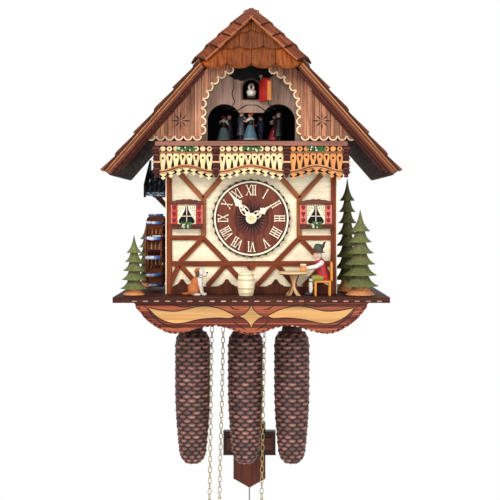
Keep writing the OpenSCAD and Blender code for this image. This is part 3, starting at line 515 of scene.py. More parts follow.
CONE_METAL = metal("antique_copper", rough=(0.36, 0.55), tarnish=(0.4, 0.3, 0.32), scale=420.0, grit=2520.0,
                   metallic=0.25)
BLACK_CLOTH = paint("black_lining_and_painted_shadow", rough=(0.85, 0.95), mottle=0.3, coat=0.0, bump=0.3)

# Colours of the parts
DARK = srgb(66, 30, 24)
SHINGLE = srgb(150, 82, 48)
HIP = srgb(186, 100, 44)
GABLE = srgb(222, 156, 122)
BEAM = srgb(134, 62, 30)
# Lighter tan of the inner posts and upper braces: painted light falling on the upper timbers
BEAM_PAINTED_LIGHT = srgb(156, 92, 54)
CREAM = srgb(252, 240, 212)
PANEL = srgb(253, 242, 214)
FRET = srgb(248, 222, 172)
FRET_RIGHT = srgb(232, 156, 94)
DIAL = srgb(120, 60, 42)
INK = srgb(34, 22, 18)
GREEN = srgb(54, 98, 42)
BRASS_COL = srgb(204, 184, 132)
STEEL_COL = srgb(170, 168, 165)
BLACK = srgb(14, 13, 14)
WHITE = srgb(240, 238, 232)

# ---------------------------------------------------------------- camera, light and floor

CAM_Y, CAM_Z, LENS = -1.510, 107 * MM - HANGER_Z * MM, 72.8
cam = bpy.data.objects.new("camera", bpy.data.cameras.new("camera"))
bpy.context.scene.collection.objects.link(cam)
cam.location = (0, CAM_Y, CAM_Z)
cam.rotation_euler = (pi / 2, 0, 0)
cam.data.lens, cam.data.sensor_width = LENS, 36
cam.data.shift_x, cam.data.shift_y = -0.0026, -0.0755
cam.data.clip_start, cam.data.clip_end = 0.05, 50
cam.data.dof.use_dof = False
bpy.context.scene.camera = cam
bpy.context.scene.view_settings.view_transform = "Standard"

world = bpy.data.worlds.new("studio")
world.use_nodes = True
AMBIENT = 0.56
wn = world.node_tree
backdrop = wn.nodes.new("ShaderNodeMapRange")
backdrop.inputs["To Min"].default_value, backdrop.inputs["To Max"].default_value = AMBIENT, 1.0
wn.links.new(wn.nodes.new("ShaderNodeLightPath").outputs["Is Camera Ray"], backdrop.inputs["Value"])
wn.links.new(backdrop.outputs[0], wn.nodes["Background"].inputs["Strength"])
wn.nodes["Background"].inputs["Color"].default_value = (1, 1, 1, 1)
bpy.context.scene.world = world


def lamp(name, where, at, size, power, tint=(1, 1, 1)):
    ob = bpy.data.objects.new(name, bpy.data.lights.new(name, "AREA"))
    ob.data.shape, ob.data.size, ob.data.energy, ob.data.color = "DISK", size, power, tint
    ob.location = where
    ob.rotation_euler = (Vector(at) - Vector(where)).to_track_quat("-Z", "Y").to_euler()
    bpy.context.scene.collection.objects.link(ob)


lamp("key", (-1.1, -1.9, 0.9), (0, -0.15, -0.2), 0.8, 27)
lamp("front", (0.35, -2.3, -0.15), (0, -0.15, -0.2), 1.4, 11)
lamp("fill", (1.5, -1.5, 0.1), (0, -0.15, -0.25), 1.1, 9)
lamp("rim", (0.3, 1.6, 1.4), (0, 0, -0.2), 1.2, 12)

floor = bpy.data.objects.new("floor", bpy.data.meshes.new("floor"))
FLOOR_Z = -0.86
floor.data.from_pydata(
    [(0.8 * cos(2 * pi * k / 96), 0.8 * sin(2 * pi * k / 96) - 0.12, FLOOR_Z) for k in range(96)], [],
                       [tuple(range(96))]
)
bpy.context.scene.collection.objects.link(floor)
fm = Nodes("pale_floor")
tone = fm.noise(fm.coords((2, 2, 2), None), 3.0, 3.0)
fm.done(fm.blend("MIX", fm.span(tone, 0.3, 0.7), (0.92, 0.92, 0.92), (0.96, 0.96, 0.95)),
        fm.span(tone, 0.3, 0.7, 0.8, 0.9), spec=0.1)
floor.data.materials.append(fm.mat)
floor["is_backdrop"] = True

# ---------------------------------------------------------------- chains

WIRE, LINK_W, LINK_PITCH = 1.1, 5.4, 7.4
END_R = (LINK_W - WIRE) / 2
LINK_REACH = LINK_PITCH / 2 + WIRE / 2 - END_R - 0.03


def link_shape():
    line = []
    for side in (0, 1):
        for k in range(6):
            a = pi * k / 5 + pi * side
            line.append((END_R * cos(a), 0, END_R * sin(a) + (LINK_REACH if side == 0 else -LINK_REACH)))
    return tube(line, WIRE / 2, 6, closed=True)


LINK = link_shape()


def chain_links(path, turn=0.35):
    """Links along a path in mm, each a quarter turn from the last."""
    steps = resampled(path, LINK_PITCH / 2)
    shapes = []
    for i, j in enumerate(range(1, len(steps) - 1, 2)):
        t = (steps[j + 1] - steps[j - 1]).normalized()
        side = Vector((0, 1, 0))
        side = (side - t * side.dot(t)).normalized()
        other = t.cross(side)
        a = turn + 0.12 * sin(i * 1.7) + (pi / 2 if i % 2 else 0)
        x = other * cos(a) + side * sin(a)
        y = side * cos(a) - other * sin(a)
        m = Matrix((x, y, t)).transposed()
        shapes.append(([m @ Vector(p) + steps[j] for p in LINK[0]], LINK[1]))
    return merged(*shapes)


FREE_ROUTES = {
    "music": [(-53, -110, 52), (-53, -110, 0), (-53.5, -114, -25), (-54, -122, -55), (-55, -122, -120),
              (-56, -124, -200), (-57.5, -124, -290), (-60, -124, -345), (-64, -122, -400)],
    "time": [(-38.5, -110, 52), (-38.5, -110, 0), (-39, -110, -60), (-40, -110, -120),
             (-42, -110, -200), (-44, -110, -290), (-43, -110, -345), (-41, -110, -400)],
    "strike": [(18, -110, 52), (18, -110, 0), (18, -115, -25), (18, -126, -55), (17, -126, -120),
               (15.5, -126, -200), (14, -126, -290), (14, -126, -345), (14, -126, -400)],
}
HANK_FOLD, HANK_TURNS, HANK_STEP = 8.1, 6, 5.7
HANK_TOP, HANK_LOW, HANK_ENTRY, RING_R = 10.8, 95.2, 6, 9


def hank_route(end):
    """Turns of the hank under the end of a free run, then the way to the pull ring."""
    x, y, z = end
    low = z - HANK_LOW
    points = []

    def bend(angles, y_at, z_at, lean=0.0):
        for a in angles:
            points.append((x + HANK_FOLD * cos(math.radians(a)), y_at - HANK_STEP * (a / 180) * lean,
                           z_at + HANK_FOLD * sin(math.radians(a))))

    def run(side, y_at, top, shares):
        for k in shares:
            points.append((x + side * HANK_FOLD, y_at, top + (low - top) * k))

    for i in range(HANK_TURNS):
        y_at = y - HANK_STEP * (HANK_TURNS - 1) / 2 + i * HANK_STEP
        top = z - HANK_TOP - (0 if i else HANK_ENTRY)
        if i:
            bend(range(180, -1, -36), y_at, top, 0.6)
        run(1, y_at, top, (0.25, 0.5, 0.75))
        bend(range(0, -181, -36), y_at, low)
        if i < HANK_TURNS - 1:
            run(-1, y_at, top, (0.75, 0.5, 0.25))
    return points


def squared(c):
    """A sine or cosine bulged so that a circle comes out as a rounded square."""
    return abs(c) ** 0.6 * (1 if c >= 0 else -1)


def band_round(x, y, z, rx, ry, r):
    """A loop of wire pulled tight round the hank."""
    n = 28
    angles = [2 * pi * k / n for k in range(n)]
    line = [(x + rx * squared(cos(a)), y + ry * squared(sin(a)), z + 0.8 * sin(3 * a)) for a in angles]
    return tube(line, r, 6, closed=True)


HANK_LENGTH, RING_GAP, TIE_BELOW = 106, 1.4, 50
for kind, route in FREE_ROUTES.items():
    body = kind + "_pull"
    end = route[-1]
    path = route[:-1] + [(end[0] + 1, end[1] - 3, end[2] + 4), (end[0] + 5, end[1] - 9, end[2] - 10)]
    path += hank_route(end)
    low = end[2] - HANK_LOW - HANK_FOLD
    tail = resampled(path, 3.7)
    chain = Piece(kind + "_free_chain")
    chain.add(chain_links(path), BRASS_COL, vary=0.02)
    cord = chain.make(body, BRASS, (kind + "_pull_chain",), "brass", weld=False)
    ring_z = end[2] - HANK_LENGTH - RING_R - RING_GAP
    ring = Piece(kind + "_pull_ring")
    ring.add(tube([(px, end[1], pz) for px, pz in ring_of(RING_R, 32, (end[0], ring_z))], 1.2, 10,
                  closed=True), BRASS_COL)
    ring.add(tube([(end[0] - 3 * cos(a), end[1] + 6 * (1 - k / 9), low + 4 - 8 * sin(pi * k / 18))
                   for k, a in enumerate([pi * k / 18 for k in range(10)])], 0.8, 6), BRASS_COL)
    ring = ring.make(body, BRASS, (kind + "_pull_hank",), "brass")
    tie = Piece(kind + "_hank_tie")
    for dz in (-1.0, 1.0):
        tie.add(band_round(end[0], end[1], end[2] - TIE_BELOW + dz, 12.2, 18.6, 0.9), srgb(196, 190, 176))
    tie = tie.make(body, STEEL, slot="steel")

# ---------------------------------------------------------------- CAD nodes that keep their shape


def finish_node(node, material):
    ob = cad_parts[node]
    ob.data.materials.clear()
    ob.data.materials.append(material)


def plain_wood(name, base, along, **kw):
    fine, coarse = 260, 14
    scale = {"x": (coarse, fine, fine), "y": (fine, coarse, fine), "z": (fine, fine, coarse)}[along]
    return wood(name, grain=scale, base=base, **kw)


WALL_WOOD = plain_wood("wall_wood", srgb(132, 76, 46), "z")
ROOF_BOARD = plain_wood("roof_board_wood", srgb(66, 36, 26), "y", rough=(0.6, 0.75), spec=0.08)
for node in ("back_panel", "side_wall_left", "side_wall_right", "whistles"):
    finish_node(node, WALL_WOOD)
for node in ("roof_board_left", "roof_board_right"):
    finish_node(node, ROOF_BOARD)
finish_node("stage_floor", plain_wood("stage_wood", srgb(160, 108, 92), "x", streak=0.7))
finish_node("inner_gable", plain_wood("recess_wood", srgb(158, 130, 116), "z", streak=0.5,
                                      rough=(0.5, 0.7)))
finish_node("base_platform", plain_wood("platform_wood", srgb(78, 42, 33), "x", rough=(0.5, 0.65),
                                        spec=0.12))
finish_node("turntable", plain_wood("turntable_wood", srgb(48, 28, 22), "x"))
for node in ("bellows_top_left", "bellows_top_right"):
    finish_node(node, plain_wood("bellows_wood", srgb(214, 178, 122), "y"))


NODE_METAL = {"tarnish": (0.5, 0.4, 0.3), "amount": 0.5, "scale": 260.0}
NODE_BRASS = metal("turned_brass", base=BRASS_COL, **NODE_METAL)
NODE_STEEL = metal("drawn_steel", base=STEEL_COL, **NODE_METAL)
for node in ("movement_frame", "music_cylinder", "music_sprocket", "time_sprocket", "strike_sprocket",
             "minute_arbor", "hour_pipe"):
    finish_node(node, NODE_BRASS)
for node in ("anchor", "pendulum_rod", "hanger_plate"):
    finish_node(node, NODE_STEEL)

# ---------------------------------------------------------------- roof

RIDGE, EAVE_X, EAVE_Z, ROOF_D, HIP_Z = 379, 189, 164, 232, 296.6
PITCH = math.atan2(RIDGE - EAVE_Z, EAVE_X)
SLOPE = EAVE_X / cos(PITCH)
HIP_RUN = RIDGE - HIP_Z
COURSE, SHINGLE_WIDE, RIDGE_D = 37.6, 30.6, 149.6


def on_slope(y, u, v):
    """y along the wall's normal, u down the right slope, v out of the shingle face."""
    return Vector((u * cos(PITCH) + v * sin(PITCH), y, RIDGE - u * sin(PITCH) + v * cos(PITCH)))


def on_hip(x, q, v):
    """q up from the lower edge of the half-hip in depth, v out of its face."""
    k = math.sqrt(0.5)
    return Vector((x, -ROOF_D + q - v * k, HIP_Z + q + v * k))


def tongue(x0, x1, top, low, sag, n=6):
    """A shingle outline: square at the top, rounded at the lower end."""
    gap = 0.35
    a, b = x0 + gap, x1 - gap
    pts = [(a, top), (a, low)]
    for k in range(1, n):
        t = k / n
        pts.append((a + (b - a) * t, low - sag * sin(pi * t) ** 0.7))
    return pts + [(b, low), (b, top)]


def slope_shingle(outline, u_top, u_low, lift):
    """One shingle from its (y, -u) outline, thicker and prouder at its lower end."""
    upper, lower = [], []
    for y, u in outline:
        t = (-u - u_top) / (u_low + 5 - u_top)
        out = -3.4 * (1 - t) - 0.4 + lift * t
        upper.append(on_slope(y, -u, min(out, -0.1)))
        lower.append(on_slope(y, -u, out - 2.2 - 2.0 * t))
    return skin([lower, upper])


SLOPE_ROWS = 8
roof = Piece("slope_shingles")
rnd = random.Random(7)
for side in (1, -1):
    for row in range(SLOPE_ROWS):
        u_low = min((row + 1) * COURSE, SLOPE + 2) - 5
        u_top = max(row * COURSE - 6, 0.5)
        y = -ROOF_D - (15 if row % 2 else 0)
        while y < -2:
            y1 = y + SHINGLE_WIDE
            shape = trimmed(
                tongue(y, y1, -u_top, -u_low, 6.5),
                lambda p: p[0] + ROOF_D,
                lambda p: -2 - p[0],
                lambda p: p[0] + RIDGE_D - p[1] * sin(PITCH) - 0.5,
            )
            y = y1
            if len(shape) < 3:
                continue
            shingle = slope_shingle(shape, u_top, u_low, rnd.uniform(0, 0.5))
            shingle = shingle if side == 1 else flipped(shingle)
            roof.add(shingle, toned(SHINGLE, rnd.uniform(0.62, 1.12)),
                     along=(side * cos(PITCH), 0, -sin(PITCH)))
roof.make("case", ROOF_WOOD, ("shingles",), "shingle_wood", bevel=0.4)

def inside_hip(p, side):
    """Not negative where (x, q) lies on the half-hip, clear of its edge on one side."""
    return (HIP_RUN - p[1]) / math.tan(PITCH) - 9 - side * p[0]


def hip_shingle(outline, low, top, lift):
    """One shingle of the half-hip from its (x, q) outline."""
    upper, lower = [], []
    for x, q in outline:
        t = 1 - (q - low) / (top - low)
        upper.append(on_hip(x, q, -3.2 + 3.1 * t + lift * t - 0.2))
        lower.append(on_hip(x, q, -5.6 + 1.4 * t))
    return skin([lower, upper])


HIP_UPPER = (HIP[0] * 0.5, HIP[1] * 0.55, HIP[2] * 0.8)
hip = Piece("half_hip_shingles")
HIP_ROWS, HIP_STEP = 4, 25.4
for row in range(HIP_ROWS):
    low = row * HIP_STEP
    top = low + HIP_STEP + 12
    x = -108.5 if row % 2 else -124
    while x < 124:
        x1 = x + 31
        shape = tongue(x, x1, top, low, 5.5 if row == 0 else 4.6, 8)
        shape = trimmed(shape, lambda p: inside_hip(p, 1), lambda p: inside_hip(p, -1))
        x = x1
        if len(shape) < 3:
            continue
        shingle = hip_shingle(shape, low, top, rnd.uniform(0, 0.4))
        tone = rnd.uniform(0.5, 1.15)
        warm = rnd.uniform(-0.06, 0.1)
        base = HIP_UPPER if row else HIP
        colour = (base[0] * tone, base[1] * tone * (1 + warm), base[2] * tone * (1 + warm * 2))
        hip.add(shingle, colour, along=(0, 0.7, 0.7))

half_foot = HIP_RUN / math.tan(PITCH)
HIP_FOOT = Vector((half_foot, -ROOF_D, HIP_Z))
HIP_EDGE = Vector((0, -ROOF_D + HIP_RUN, RIDGE)) - HIP_FOOT
ALONG_HIP, EDGE_LEN = HIP_EDGE.normalized(), HIP_EDGE.length
HIP_OUT = Vector((0, -math.sqrt(0.5), math.sqrt(0.5)))
SLOPE_OUT = Vector((sin(PITCH), 0, cos(PITCH)))
HIP_IN, SLOPE_IN = ALONG_HIP.cross(HIP_OUT), ALONG_HIP.cross(SLOPE_OUT)
HIP_IN = HIP_IN if HIP_IN.x < 0 else -HIP_IN
SLOPE_IN = SLOPE_IN if SLOPE_IN.y > 0 else -SLOPE_IN
CAP_STARTS, CAP_SHARE = (0.055, 0.27, 0.48, 0.69), 0.32


def cap_rings(start, lift, inward, out, wide):
    """The two end sections of one leaf of a hip cap, the upper end lying flatter."""
    rings = []
    for s, rise in ((start * EDGE_LEN, lift), (min((start + CAP_SHARE) * EDGE_LEN, EDGE_LEN), 0.6)):
        base = HIP_FOOT + ALONG_HIP * s
        rings.append([
            base + out * rise, base + out * (rise + 2.9),
            base + inward * wide + out * (rise + 2.7), base + inward * wide + out * rise,
        ])
    return rings


def cap_lip(ring, inward, out):
    """Section of the light edge along a hip cap."""
    p = ring[2] + out * 0.25
    return [p - inward * 0.9, p + inward * 0.25, p + inward * 0.25 - out * 2.4,
            p - inward * 0.9 - out * 2.4]


for i, start in enumerate(CAP_STARTS):
    for inward, out, wide in ((HIP_IN, HIP_OUT, 12.5), (SLOPE_IN, SLOPE_OUT, 13)):
        rings = cap_rings(start, 3.4 if i else 1.6, inward, out, wide)
        lip = [cap_lip(r, inward, out) for r in rings]
        low = rings[0]
        section = (low[0], low[1] + out * 0.15, low[2] + out * 0.15, low[3])
        end = [[r + ALONG_HIP * d for r in section] for d in (-0.7, 0.6)]
        tone = 0.75 + 0.2 * ((i * 7) % 3) / 2
        for f in BOTH_SIDES:
            hip.add(f(skin(rings)), toned(srgb(158, 82, 48), tone), along=ALONG_HIP)
            hip.add(f(skin(lip)), srgb(206, 132, 92), along=ALONG_HIP)
            hip.add(f(skin(end)), srgb(74, 38, 28))
hip.make("case", ROOF_WOOD, ("hip_shingles",), "shingle_wood", bevel=0.3)
# The thin board under the half-hip is coloured near black: painted shade under the hip's overhang
painted_shade_hip_board = Piece("half_hip_board")
for f in BOTH_SIDES:
    corners = [(0, 5), (half_foot - 9, 5), (0, HIP_RUN - 7)]
    painted_shade_hip_board.add(f(skin([[on_hip(x, q, v) for x, q in corners] for v in (-9.5, -6.2)])), srgb(60, 34, 26))
painted_shade_hip_board.make("case", WOOD, ("hip_board",), "dark_wood")

cap = Piece("ridge_boards")
CAPS = 5
CAP_LEN = (RIDGE_D - 2) / CAPS
for i in range(CAPS):
    y0 = -RIDGE_D + i * CAP_LEN
    y1 = min(y0 + CAP_LEN + 7, -2)
    for f in BOTH_SIDES:
        rings = []
        for y, lift in ((y0, 1.0), (y1, 0.0)):
            rings.append([on_slope(y, 0, lift), on_slope(y, 24, lift), on_slope(y, 24, lift + 2.9),
                          on_slope(y, -1.5, lift + 2.9)])
        rings = [[Vector((max(p.x, 0), p.y, p.z)) for p in r] for r in rings]
        cap.add(f(skin(rings)), srgb(52, 28, 22), along=DEEP)
cap.make("case", ROOF_WOOD, ("ridge_cap",), "shingle_wood", bevel=0.5)


def slope_strip(u0, u1, v0, v1, y0, y1):
    return skin([
        [on_slope(y0, u0, v0), on_slope(y0, u0, v1), on_slope(y1, u0, v1), on_slope(y1, u0, v0)],
        [on_slope(y0, u1, v0), on_slope(y0, u1, v1), on_slope(y1, u1, v1), on_slope(y1, u1, v0)],
    ])


verge = Piece("verge_boards")
DOWN = (cos(PITCH), 0, -sin(PITCH))
U0, U1 = 106, SLOPE
for f in BOTH_SIDES:
    layers = [
        (-6.2, -7.6, -234.4, srgb(196, 132, 84)),
        (-7.6, -10.6, -233.6, srgb(128, 70, 46)),
        (-10.6, -11.4, -234.2, srgb(206, 144, 96)),
        (-11.4, -14.4, -233.4, srgb(104, 52, 36)),
    ]
    for v0, v1, y, colour in layers:
        verge.add(f(slope_strip(U0, U1, v0, v1, y, -231)), colour, along=DOWN)
    for k in range(5):
        u = U0 + k * 36
        verge.add(f(slope_strip(u, min(u + 37, U1 + 1), -3.2, -5.6, -235.0 + 0.5 * (k % 2), -230)),
                  srgb(66, 34, 26), along=DOWN)
    # Reddish batten behind the verge, coloured dark red as a painted shadow of the verge, and the plank
    # along the eave
    verge.add(f(slope_strip(110, U1 - 6, -14.2, -17.6, -229, -219)), srgb(96, 42, 30), along=DOWN)
    verge.add(f(slope_strip(138, U1 - 14, -14.2, -19, -219, -207)), srgb(92, 46, 34), along=DOWN)
    for y in range(-228, -18, 13):
        verge.add(f(slope_strip(U1 - 1.5, U1 + 1.2, -7.5, -14.2, y, y + 11.5)), srgb(70, 36, 26),
                  along=DEEP)
verge.make("case", WOOD, slot="dark_wood", bevel=0.3)

# ---------------------------------------------------------------- gable board

ARCH_X, SPRING, RISE, GABLE_LOW, GABLE_HIGH, GABLE_FOOT = 63.8, 239, 58, 205, 303, 133.7
GABLE_FRONT, ROOF_THICK = -205, 14.03


def under_roof(x):
    """Height of the roof boards' underside at x."""
    return RIDGE - ROOF_THICK / cos(PITCH) - abs(x) * math.tan(PITCH)


def gable_foot_z(x):
    if abs(x) >= ARCH_X - 0.01:
        return GABLE_LOW
    return SPRING + RISE * math.sqrt(max(0, 1 - (x / ARCH_X) ** 2))


def gable_head_z(x):
    return min(GABLE_HIGH, under_roof(x))


gable = Piece("carved_gable_board")
g = random.Random(11)
for side in (1, -1):
    edges = [0.0]
    while edges[-1] < GABLE_FOOT - 2:
        w = g.choice((2.6, 3.4, 4.2, 5.2, 6.4))
        nxt = edges[-1] + w
        for stop in (ARCH_X, GABLE_FOOT):
            if edges[-1] < stop - 0.5 and abs(nxt - stop) < 2.6 or edges[-1] < stop - 0.5 < nxt:
                nxt = stop
        edges.append(nxt)
    for a, b in zip(edges, edges[1:]):
        front = GABLE_FRONT - g.uniform(0, 0.7)
        m = 0.22
        inner = (a + b) / 2
        low = [gable_foot_z(p if abs(p - ARCH_X) > 0.01 else inner) for p in (a, inner, b)]
        head = [gable_head_z(p) for p in (a, inner, b)]
        if min(h - l for h, l in zip(head, low)) < 0.5:
            continue
        outline = [(a + m, low[0]), (inner, low[1]), (b - m, low[2]), (b - m, head[2]), (inner, head[1]),
                   (a + m, head[0])]
        outline = [(side * px, pz) for px, pz in outline]
        tone = g.uniform(0.55, 1.1)
        rosy = g.uniform(-0.05, 0.05)
        colour = (GABLE[0] * tone * (1 + rosy), GABLE[1] * tone, GABLE[2] * tone * (1 - rosy))
        gable.add(plate(outline, front, -199.6), colour, along=UP)

# Thin backing that joins the strips
for side in (1, -1):
    n = 10
    arch = [(side * ARCH_X * cos(pi / 2 * k / n), SPRING + RISE * sin(pi / 2 * k / n))
            for k in range(n + 1)]
    head = [(0, GABLE_HIGH), (side * 47.8, GABLE_HIGH), (side * GABLE_FOOT, under_roof(GABLE_FOOT))]
    outline = [(side * ARCH_X, GABLE_LOW)] + arch + head + [(side * GABLE_FOOT, GABLE_LOW)]
    gable.add(fret([outline], -203.4, -199.0, 0.1), srgb(70, 42, 36), along=UP)


def lobe(cx, cz, nx, nz, y0, y1, r=5.9, wide=1.9):
    """A round scallop of the gable's edge, facing (nx, nz), and its light cut edge."""
    base = math.atan2(nz, nx)
    n = 10
    angles = [base + math.radians(-98 + 196 * k / n) for k in range(n + 1)]
    disc = [(cx + r * cos(a), cz + r * sin(a)) for a in angles]
    inner = [(cx + (r - wide) * cos(a), cz + (r - wide) * sin(a)) for a in angles]
    band = disc + inner[::-1]
    return plate(disc, y0 + 0.3, y1), plate(band, y0 - 0.35, y0 + 1.6)


scallops = []
for side in (1, -1):
    for i in range(6):
        scallops.append((side * (ARCH_X + 5.95 + i * 11.9), GABLE_LOW, 0, -1))
    for i in range(3):
        scallops.append((side * ARCH_X, GABLE_LOW + 8 + i * 11.4, -side, 0))
    arc, last, at = [], None, 0.0
    for k in range(401):
        a = pi / 2 * k / 400
        p = (ARCH_X * cos(a), SPRING + RISE * sin(a))
        if last:
            at += math.hypot(p[0] - last[0], p[1] - last[1])
        last = p
        arc.append((at, p, a))
    total = at
    n = 8
    for i in range(n):
        want = 8.4 + i * (total - 8.4) / (n - 0.5)
        s, p, a = min(arc, key=lambda q: abs(q[0] - want))
        nx, nz = -cos(a) * RISE, -sin(a) * ARCH_X
        ln = math.hypot(nx, nz)
        scallops.append((side * p[0], p[1], side * nx / ln, nz / ln))
trim = Piece("gable_scallop_edges")
for cx, cz, nx, nz in scallops:
    if cz == GABLE_LOW and abs(cx) > GABLE_FOOT - 2 or abs(cx) < 19:
        continue
    disc, band = lobe(cx, cz, nx, nz, GABLE_FRONT, -199.4)
    tone = g.uniform(0.5, 0.75)
    gable.add(disc, toned(GABLE, tone), along=UP)
    trim.add(band, srgb(248, 222, 184))
STAR_X, STAR_Z = 91, 225
for side in (1, -1):
    for i in range(8):
        a = i * pi / 4
        long = 13 if i % 2 == 0 else 10.5
        petal = ((1.2, 0), (long * 0.55, 0.85), (long, 0), (long * 0.55, -0.85))
        outline = [(side * STAR_X + u * cos(a) - v * sin(a), STAR_Z + u * sin(a) + v * cos(a)) for u,
                   v in petal]
        trim.add(plate(outline, GABLE_FRONT - 0.95, GABLE_FRONT + 0.5), srgb(44, 26, 22), along=UP)
gable.make("case", GABLE_WOOD, ("gable_board",), "gable_wood", bevel=0.18)
trim.make("case", CREAM_WOOD, slot="cream_wood", bevel=0.12)

# Carved cartouche round the cuckoo opening, cut in dark lines
cart = Piece("cartouche")


def groove(points, width=1.1):
    """A dark line of the cartouche."""
    return stroke(points, width, 0.35, 2.0, -186.7, -185.8)


for f in BOTH_SIDES:
    cart.add(f(groove([(24, 283), (22.5, 272), (25, 262), (22, 252), (26, 245), (32, 241.5)])), INK)
    cart.add(f(groove([(0, 247.5), (7, 247), (13, 243.5), (19, 240), (25, 240.5)], 1.3)), INK)
    cart.add(f(groove([(16, 286), (20, 281), (24, 283), (27, 290), (24, 296)])), INK)
    cart.add(f(groove([(0, 299), (8, 297), (14, 291), (18, 286)])), INK)


def doorway(half, sill):
    """The outline of the cuckoo's opening: straight jambs under a half round."""
    arch = [(half * cos(pi * k / 12), 269.4 + half * sin(pi * k / 12)) for k in range(13)]
    return [(-half, sill), (half, sill)] + arch


cart.add(fret([doorway(12.9, 254), doorway(11.2, 255)], -187.2, -185.9, 0.15), srgb(84, 62, 54), along=UP)
cart.make("case", GABLE_WOOD, slot="gable_wood")

# Black linings of the stage and of the cuckoo's chamber, and a black plate over the gable above the opening
# that is a painted shadow of the half-hip
lining = Piece("stage_lining")
LINING_BOARDS = (
    (-72, 72, -70, -68, 198, 250), (-72, -70, -179.8, -68, 198, 250), (70, 72, -179.8, -68, 198, 250),
    (-72, 72, -179.8, -68, 248.5, 250.5), (-13, 13, -102, -100, 250.5, 292),
                 (-15, -13, -179.8, -100, 250.5, 292),
    (13, 15, -179.8, -100, 250.5, 292), (-15, 15, -179.8, -100, 290, 292),
                 (-70, 70, -179.8, -70, 197.85, 198.3),
)
for sides in LINING_BOARDS:
    lining.add(block(*sides), BLACK, vary=0.02)
# Painted shadow: a black plate where the half-hip shades the gable board above the cuckoo's opening
shadow = [(-40, 298), (-33, 289), (-24, 282.5), (-14, 279), (14, 279), (24, 282.5), (33, 289), (40, 298)]
lining.add(plate(shadow, -186.9, -186.2), BLACK, vary=0.02)
lining.make("case", BLACK_CLOTH, slot="dark_wood")

# ---------------------------------------------------------------- balcony

BAYS = ((-117.6, -49.3, 8, FRET), (-41.3, 41.3, 10, FRET), (49.3, 117.6, 8, FRET_RIGHT))


def bow(dx, half, top=168.5):
    return top - 7.5 * (0.5 - 0.5 * cos(pi * min(abs(dx) / half, 1)))


posts = Piece("balcony_corner_posts")
for x in (-121.6, -45.3, 45.3, 121.6):
    posts.add(block(x - 3.6, x + 3.6, -218, -212, 155.7, 192), DARK, along=UP)
    for i in range(8):
        z = 157.0 + i * 4.35
        wide = 5.0 if i in (0, 3, 7) else 4.3
        tint = srgb(240, 184, 140) if i == 3 else srgb(112, 56, 44) if i % 2 else srgb(84, 34, 28)
        posts.add(block(x - wide, x + wide, -219.4, -211.6, z, z + 2.3), tint)
    posts.add(lathe([(0.6, 0), (3.2, 1.2), (2.4, 3), (3.0, 4.4)], (x, -215, 151.3), 16), srgb(98, 44, 34),
              along=UP)
posts.make("case", WOOD, ("balcony_posts",), "dark_wood", bevel=0.45)

RAIL_LOW = 182.5
BALUSTER = ((0, 2.5), (0.12, 2.2), (0.3, 2.7), (0.5, 3.5), (0.68, 3.98), (0.84, 3.98), (0.94, 3.2),
            (1.0, 2.0))
PENDANT = ((4.3, 0.6), (4.3, -0.9), (2.2, -2.1), (1.15, -2.6), (1.1, -3.6), (2.3, -4.1), (2.9, -5.1),
           (2.3, -6.1), (1.2, -6.2), (0.9, -7.2), (0, -7.7))
rails = Piece("balcony_rail_boards")
frets = Piece("balcony_frets")
for x0, x1, n, tint in BAYS:
    mid, half = (x0 + x1) / 2, (x1 - x0) / 2
    xs = [x0 + (x1 - x0) * k / 24 for k in range(25)]
    for lo, hi, y, colour in ((-5.0, 0, -217.0, srgb(150, 84, 52)),
                              (-1.4, -0.3, -217.7, srgb(236, 186, 130)),
                              (-4.7, -3.6, -217.7, srgb(236, 186, 130))):
        outline = [(x, bow(x - mid, half) + lo) for x in xs] + [(x, bow(x - mid, half) + hi)
                                                                for x in xs[::-1]]
        rails.add(plate(outline, y, -213.2), colour)
    # A dark backing board behind the balusters, whose dark colour also paints the shade there, and a darker
    # strip behind the pendants that is a painted shadow under the balcony floor
    back = [(x, bow(x - mid, half) - 2) for x in xs] + [(x1, 192), (x0, 192)]
    rails.add(plate(back, -213.6, -212.2), srgb(58, 32, 24))
    shade = [(x, bow(x - mid, half) - 9.3) for x in xs] + [(x, bow(x - mid, half) - 3) for x in xs[::-1]]
    rails.add(plate(shade, -213.6, -212.4), srgb(34, 20, 17))
    rails.add(block(x0, x1, -217.2, -213.2, 182.3, 184.5), srgb(140, 78, 56))
    for z in (182.4, 183.9):
        rails.add(block(x0, x1, -217.7, -217, z, z + 0.5), srgb(226, 172, 130))
    pitch = (x1 - x0) / n
    for i in range(n):
        x = x0 + pitch * (i + 0.5)
        foot = bow(x - mid, half) - 0.6
        h = RAIL_LOW - foot
        outline = [(x + w, foot + h * t) for t, w in BALUSTER] + [(x - w, foot + h * t) for t,
                                                                  w in BALUSTER[::-1]]
        zc = foot + h * 0.72
        if i % 2 == (0 if n == 8 else 1):
            hole = ring_of(1.5, 12, (x, zc - 0.3))
        else:
            hole = [(x - 1.9, zc + 1.9), (x + 1.9, zc + 1.9), (x + 0.5, zc - 4.2), (x - 0.5, zc - 4.2)]
        frets.add(fret([outline, hole], -216.2, -214.2, 0.22), tint, along=UP, vary=0.1)
        frets.add(plate(hole, -214.4, -214.0), INK)
        if abs(x - mid) > 12:
            disc = [ring_of(3.5, 16, (x, 188.3))]
            if i % 2 == (1 if n == 8 else 0):
                disc.append(ring_of(1.25, 10, (x, 188.3)))
                frets.add(plate(disc[1], -214.4, -214.0), INK)
            frets.add(fret(disc, -216.2, -214.2, 0.3), tint, vary=0.1)
    m = round((x1 - x0) / 9.7)
    for i in range(m):
        x = x0 + (x1 - x0) / m * (i + 0.5)
        z = bow(x - mid, half) - 5.4
        outline = [(x + a, z + b) for a, b in PENDANT] + [(x - a, z + b) for a, b in PENDANT[-2::-1]]
        frets.add(fret([outline], -216.6, -214.2, 0.22), tint, along=UP, vary=0.08)
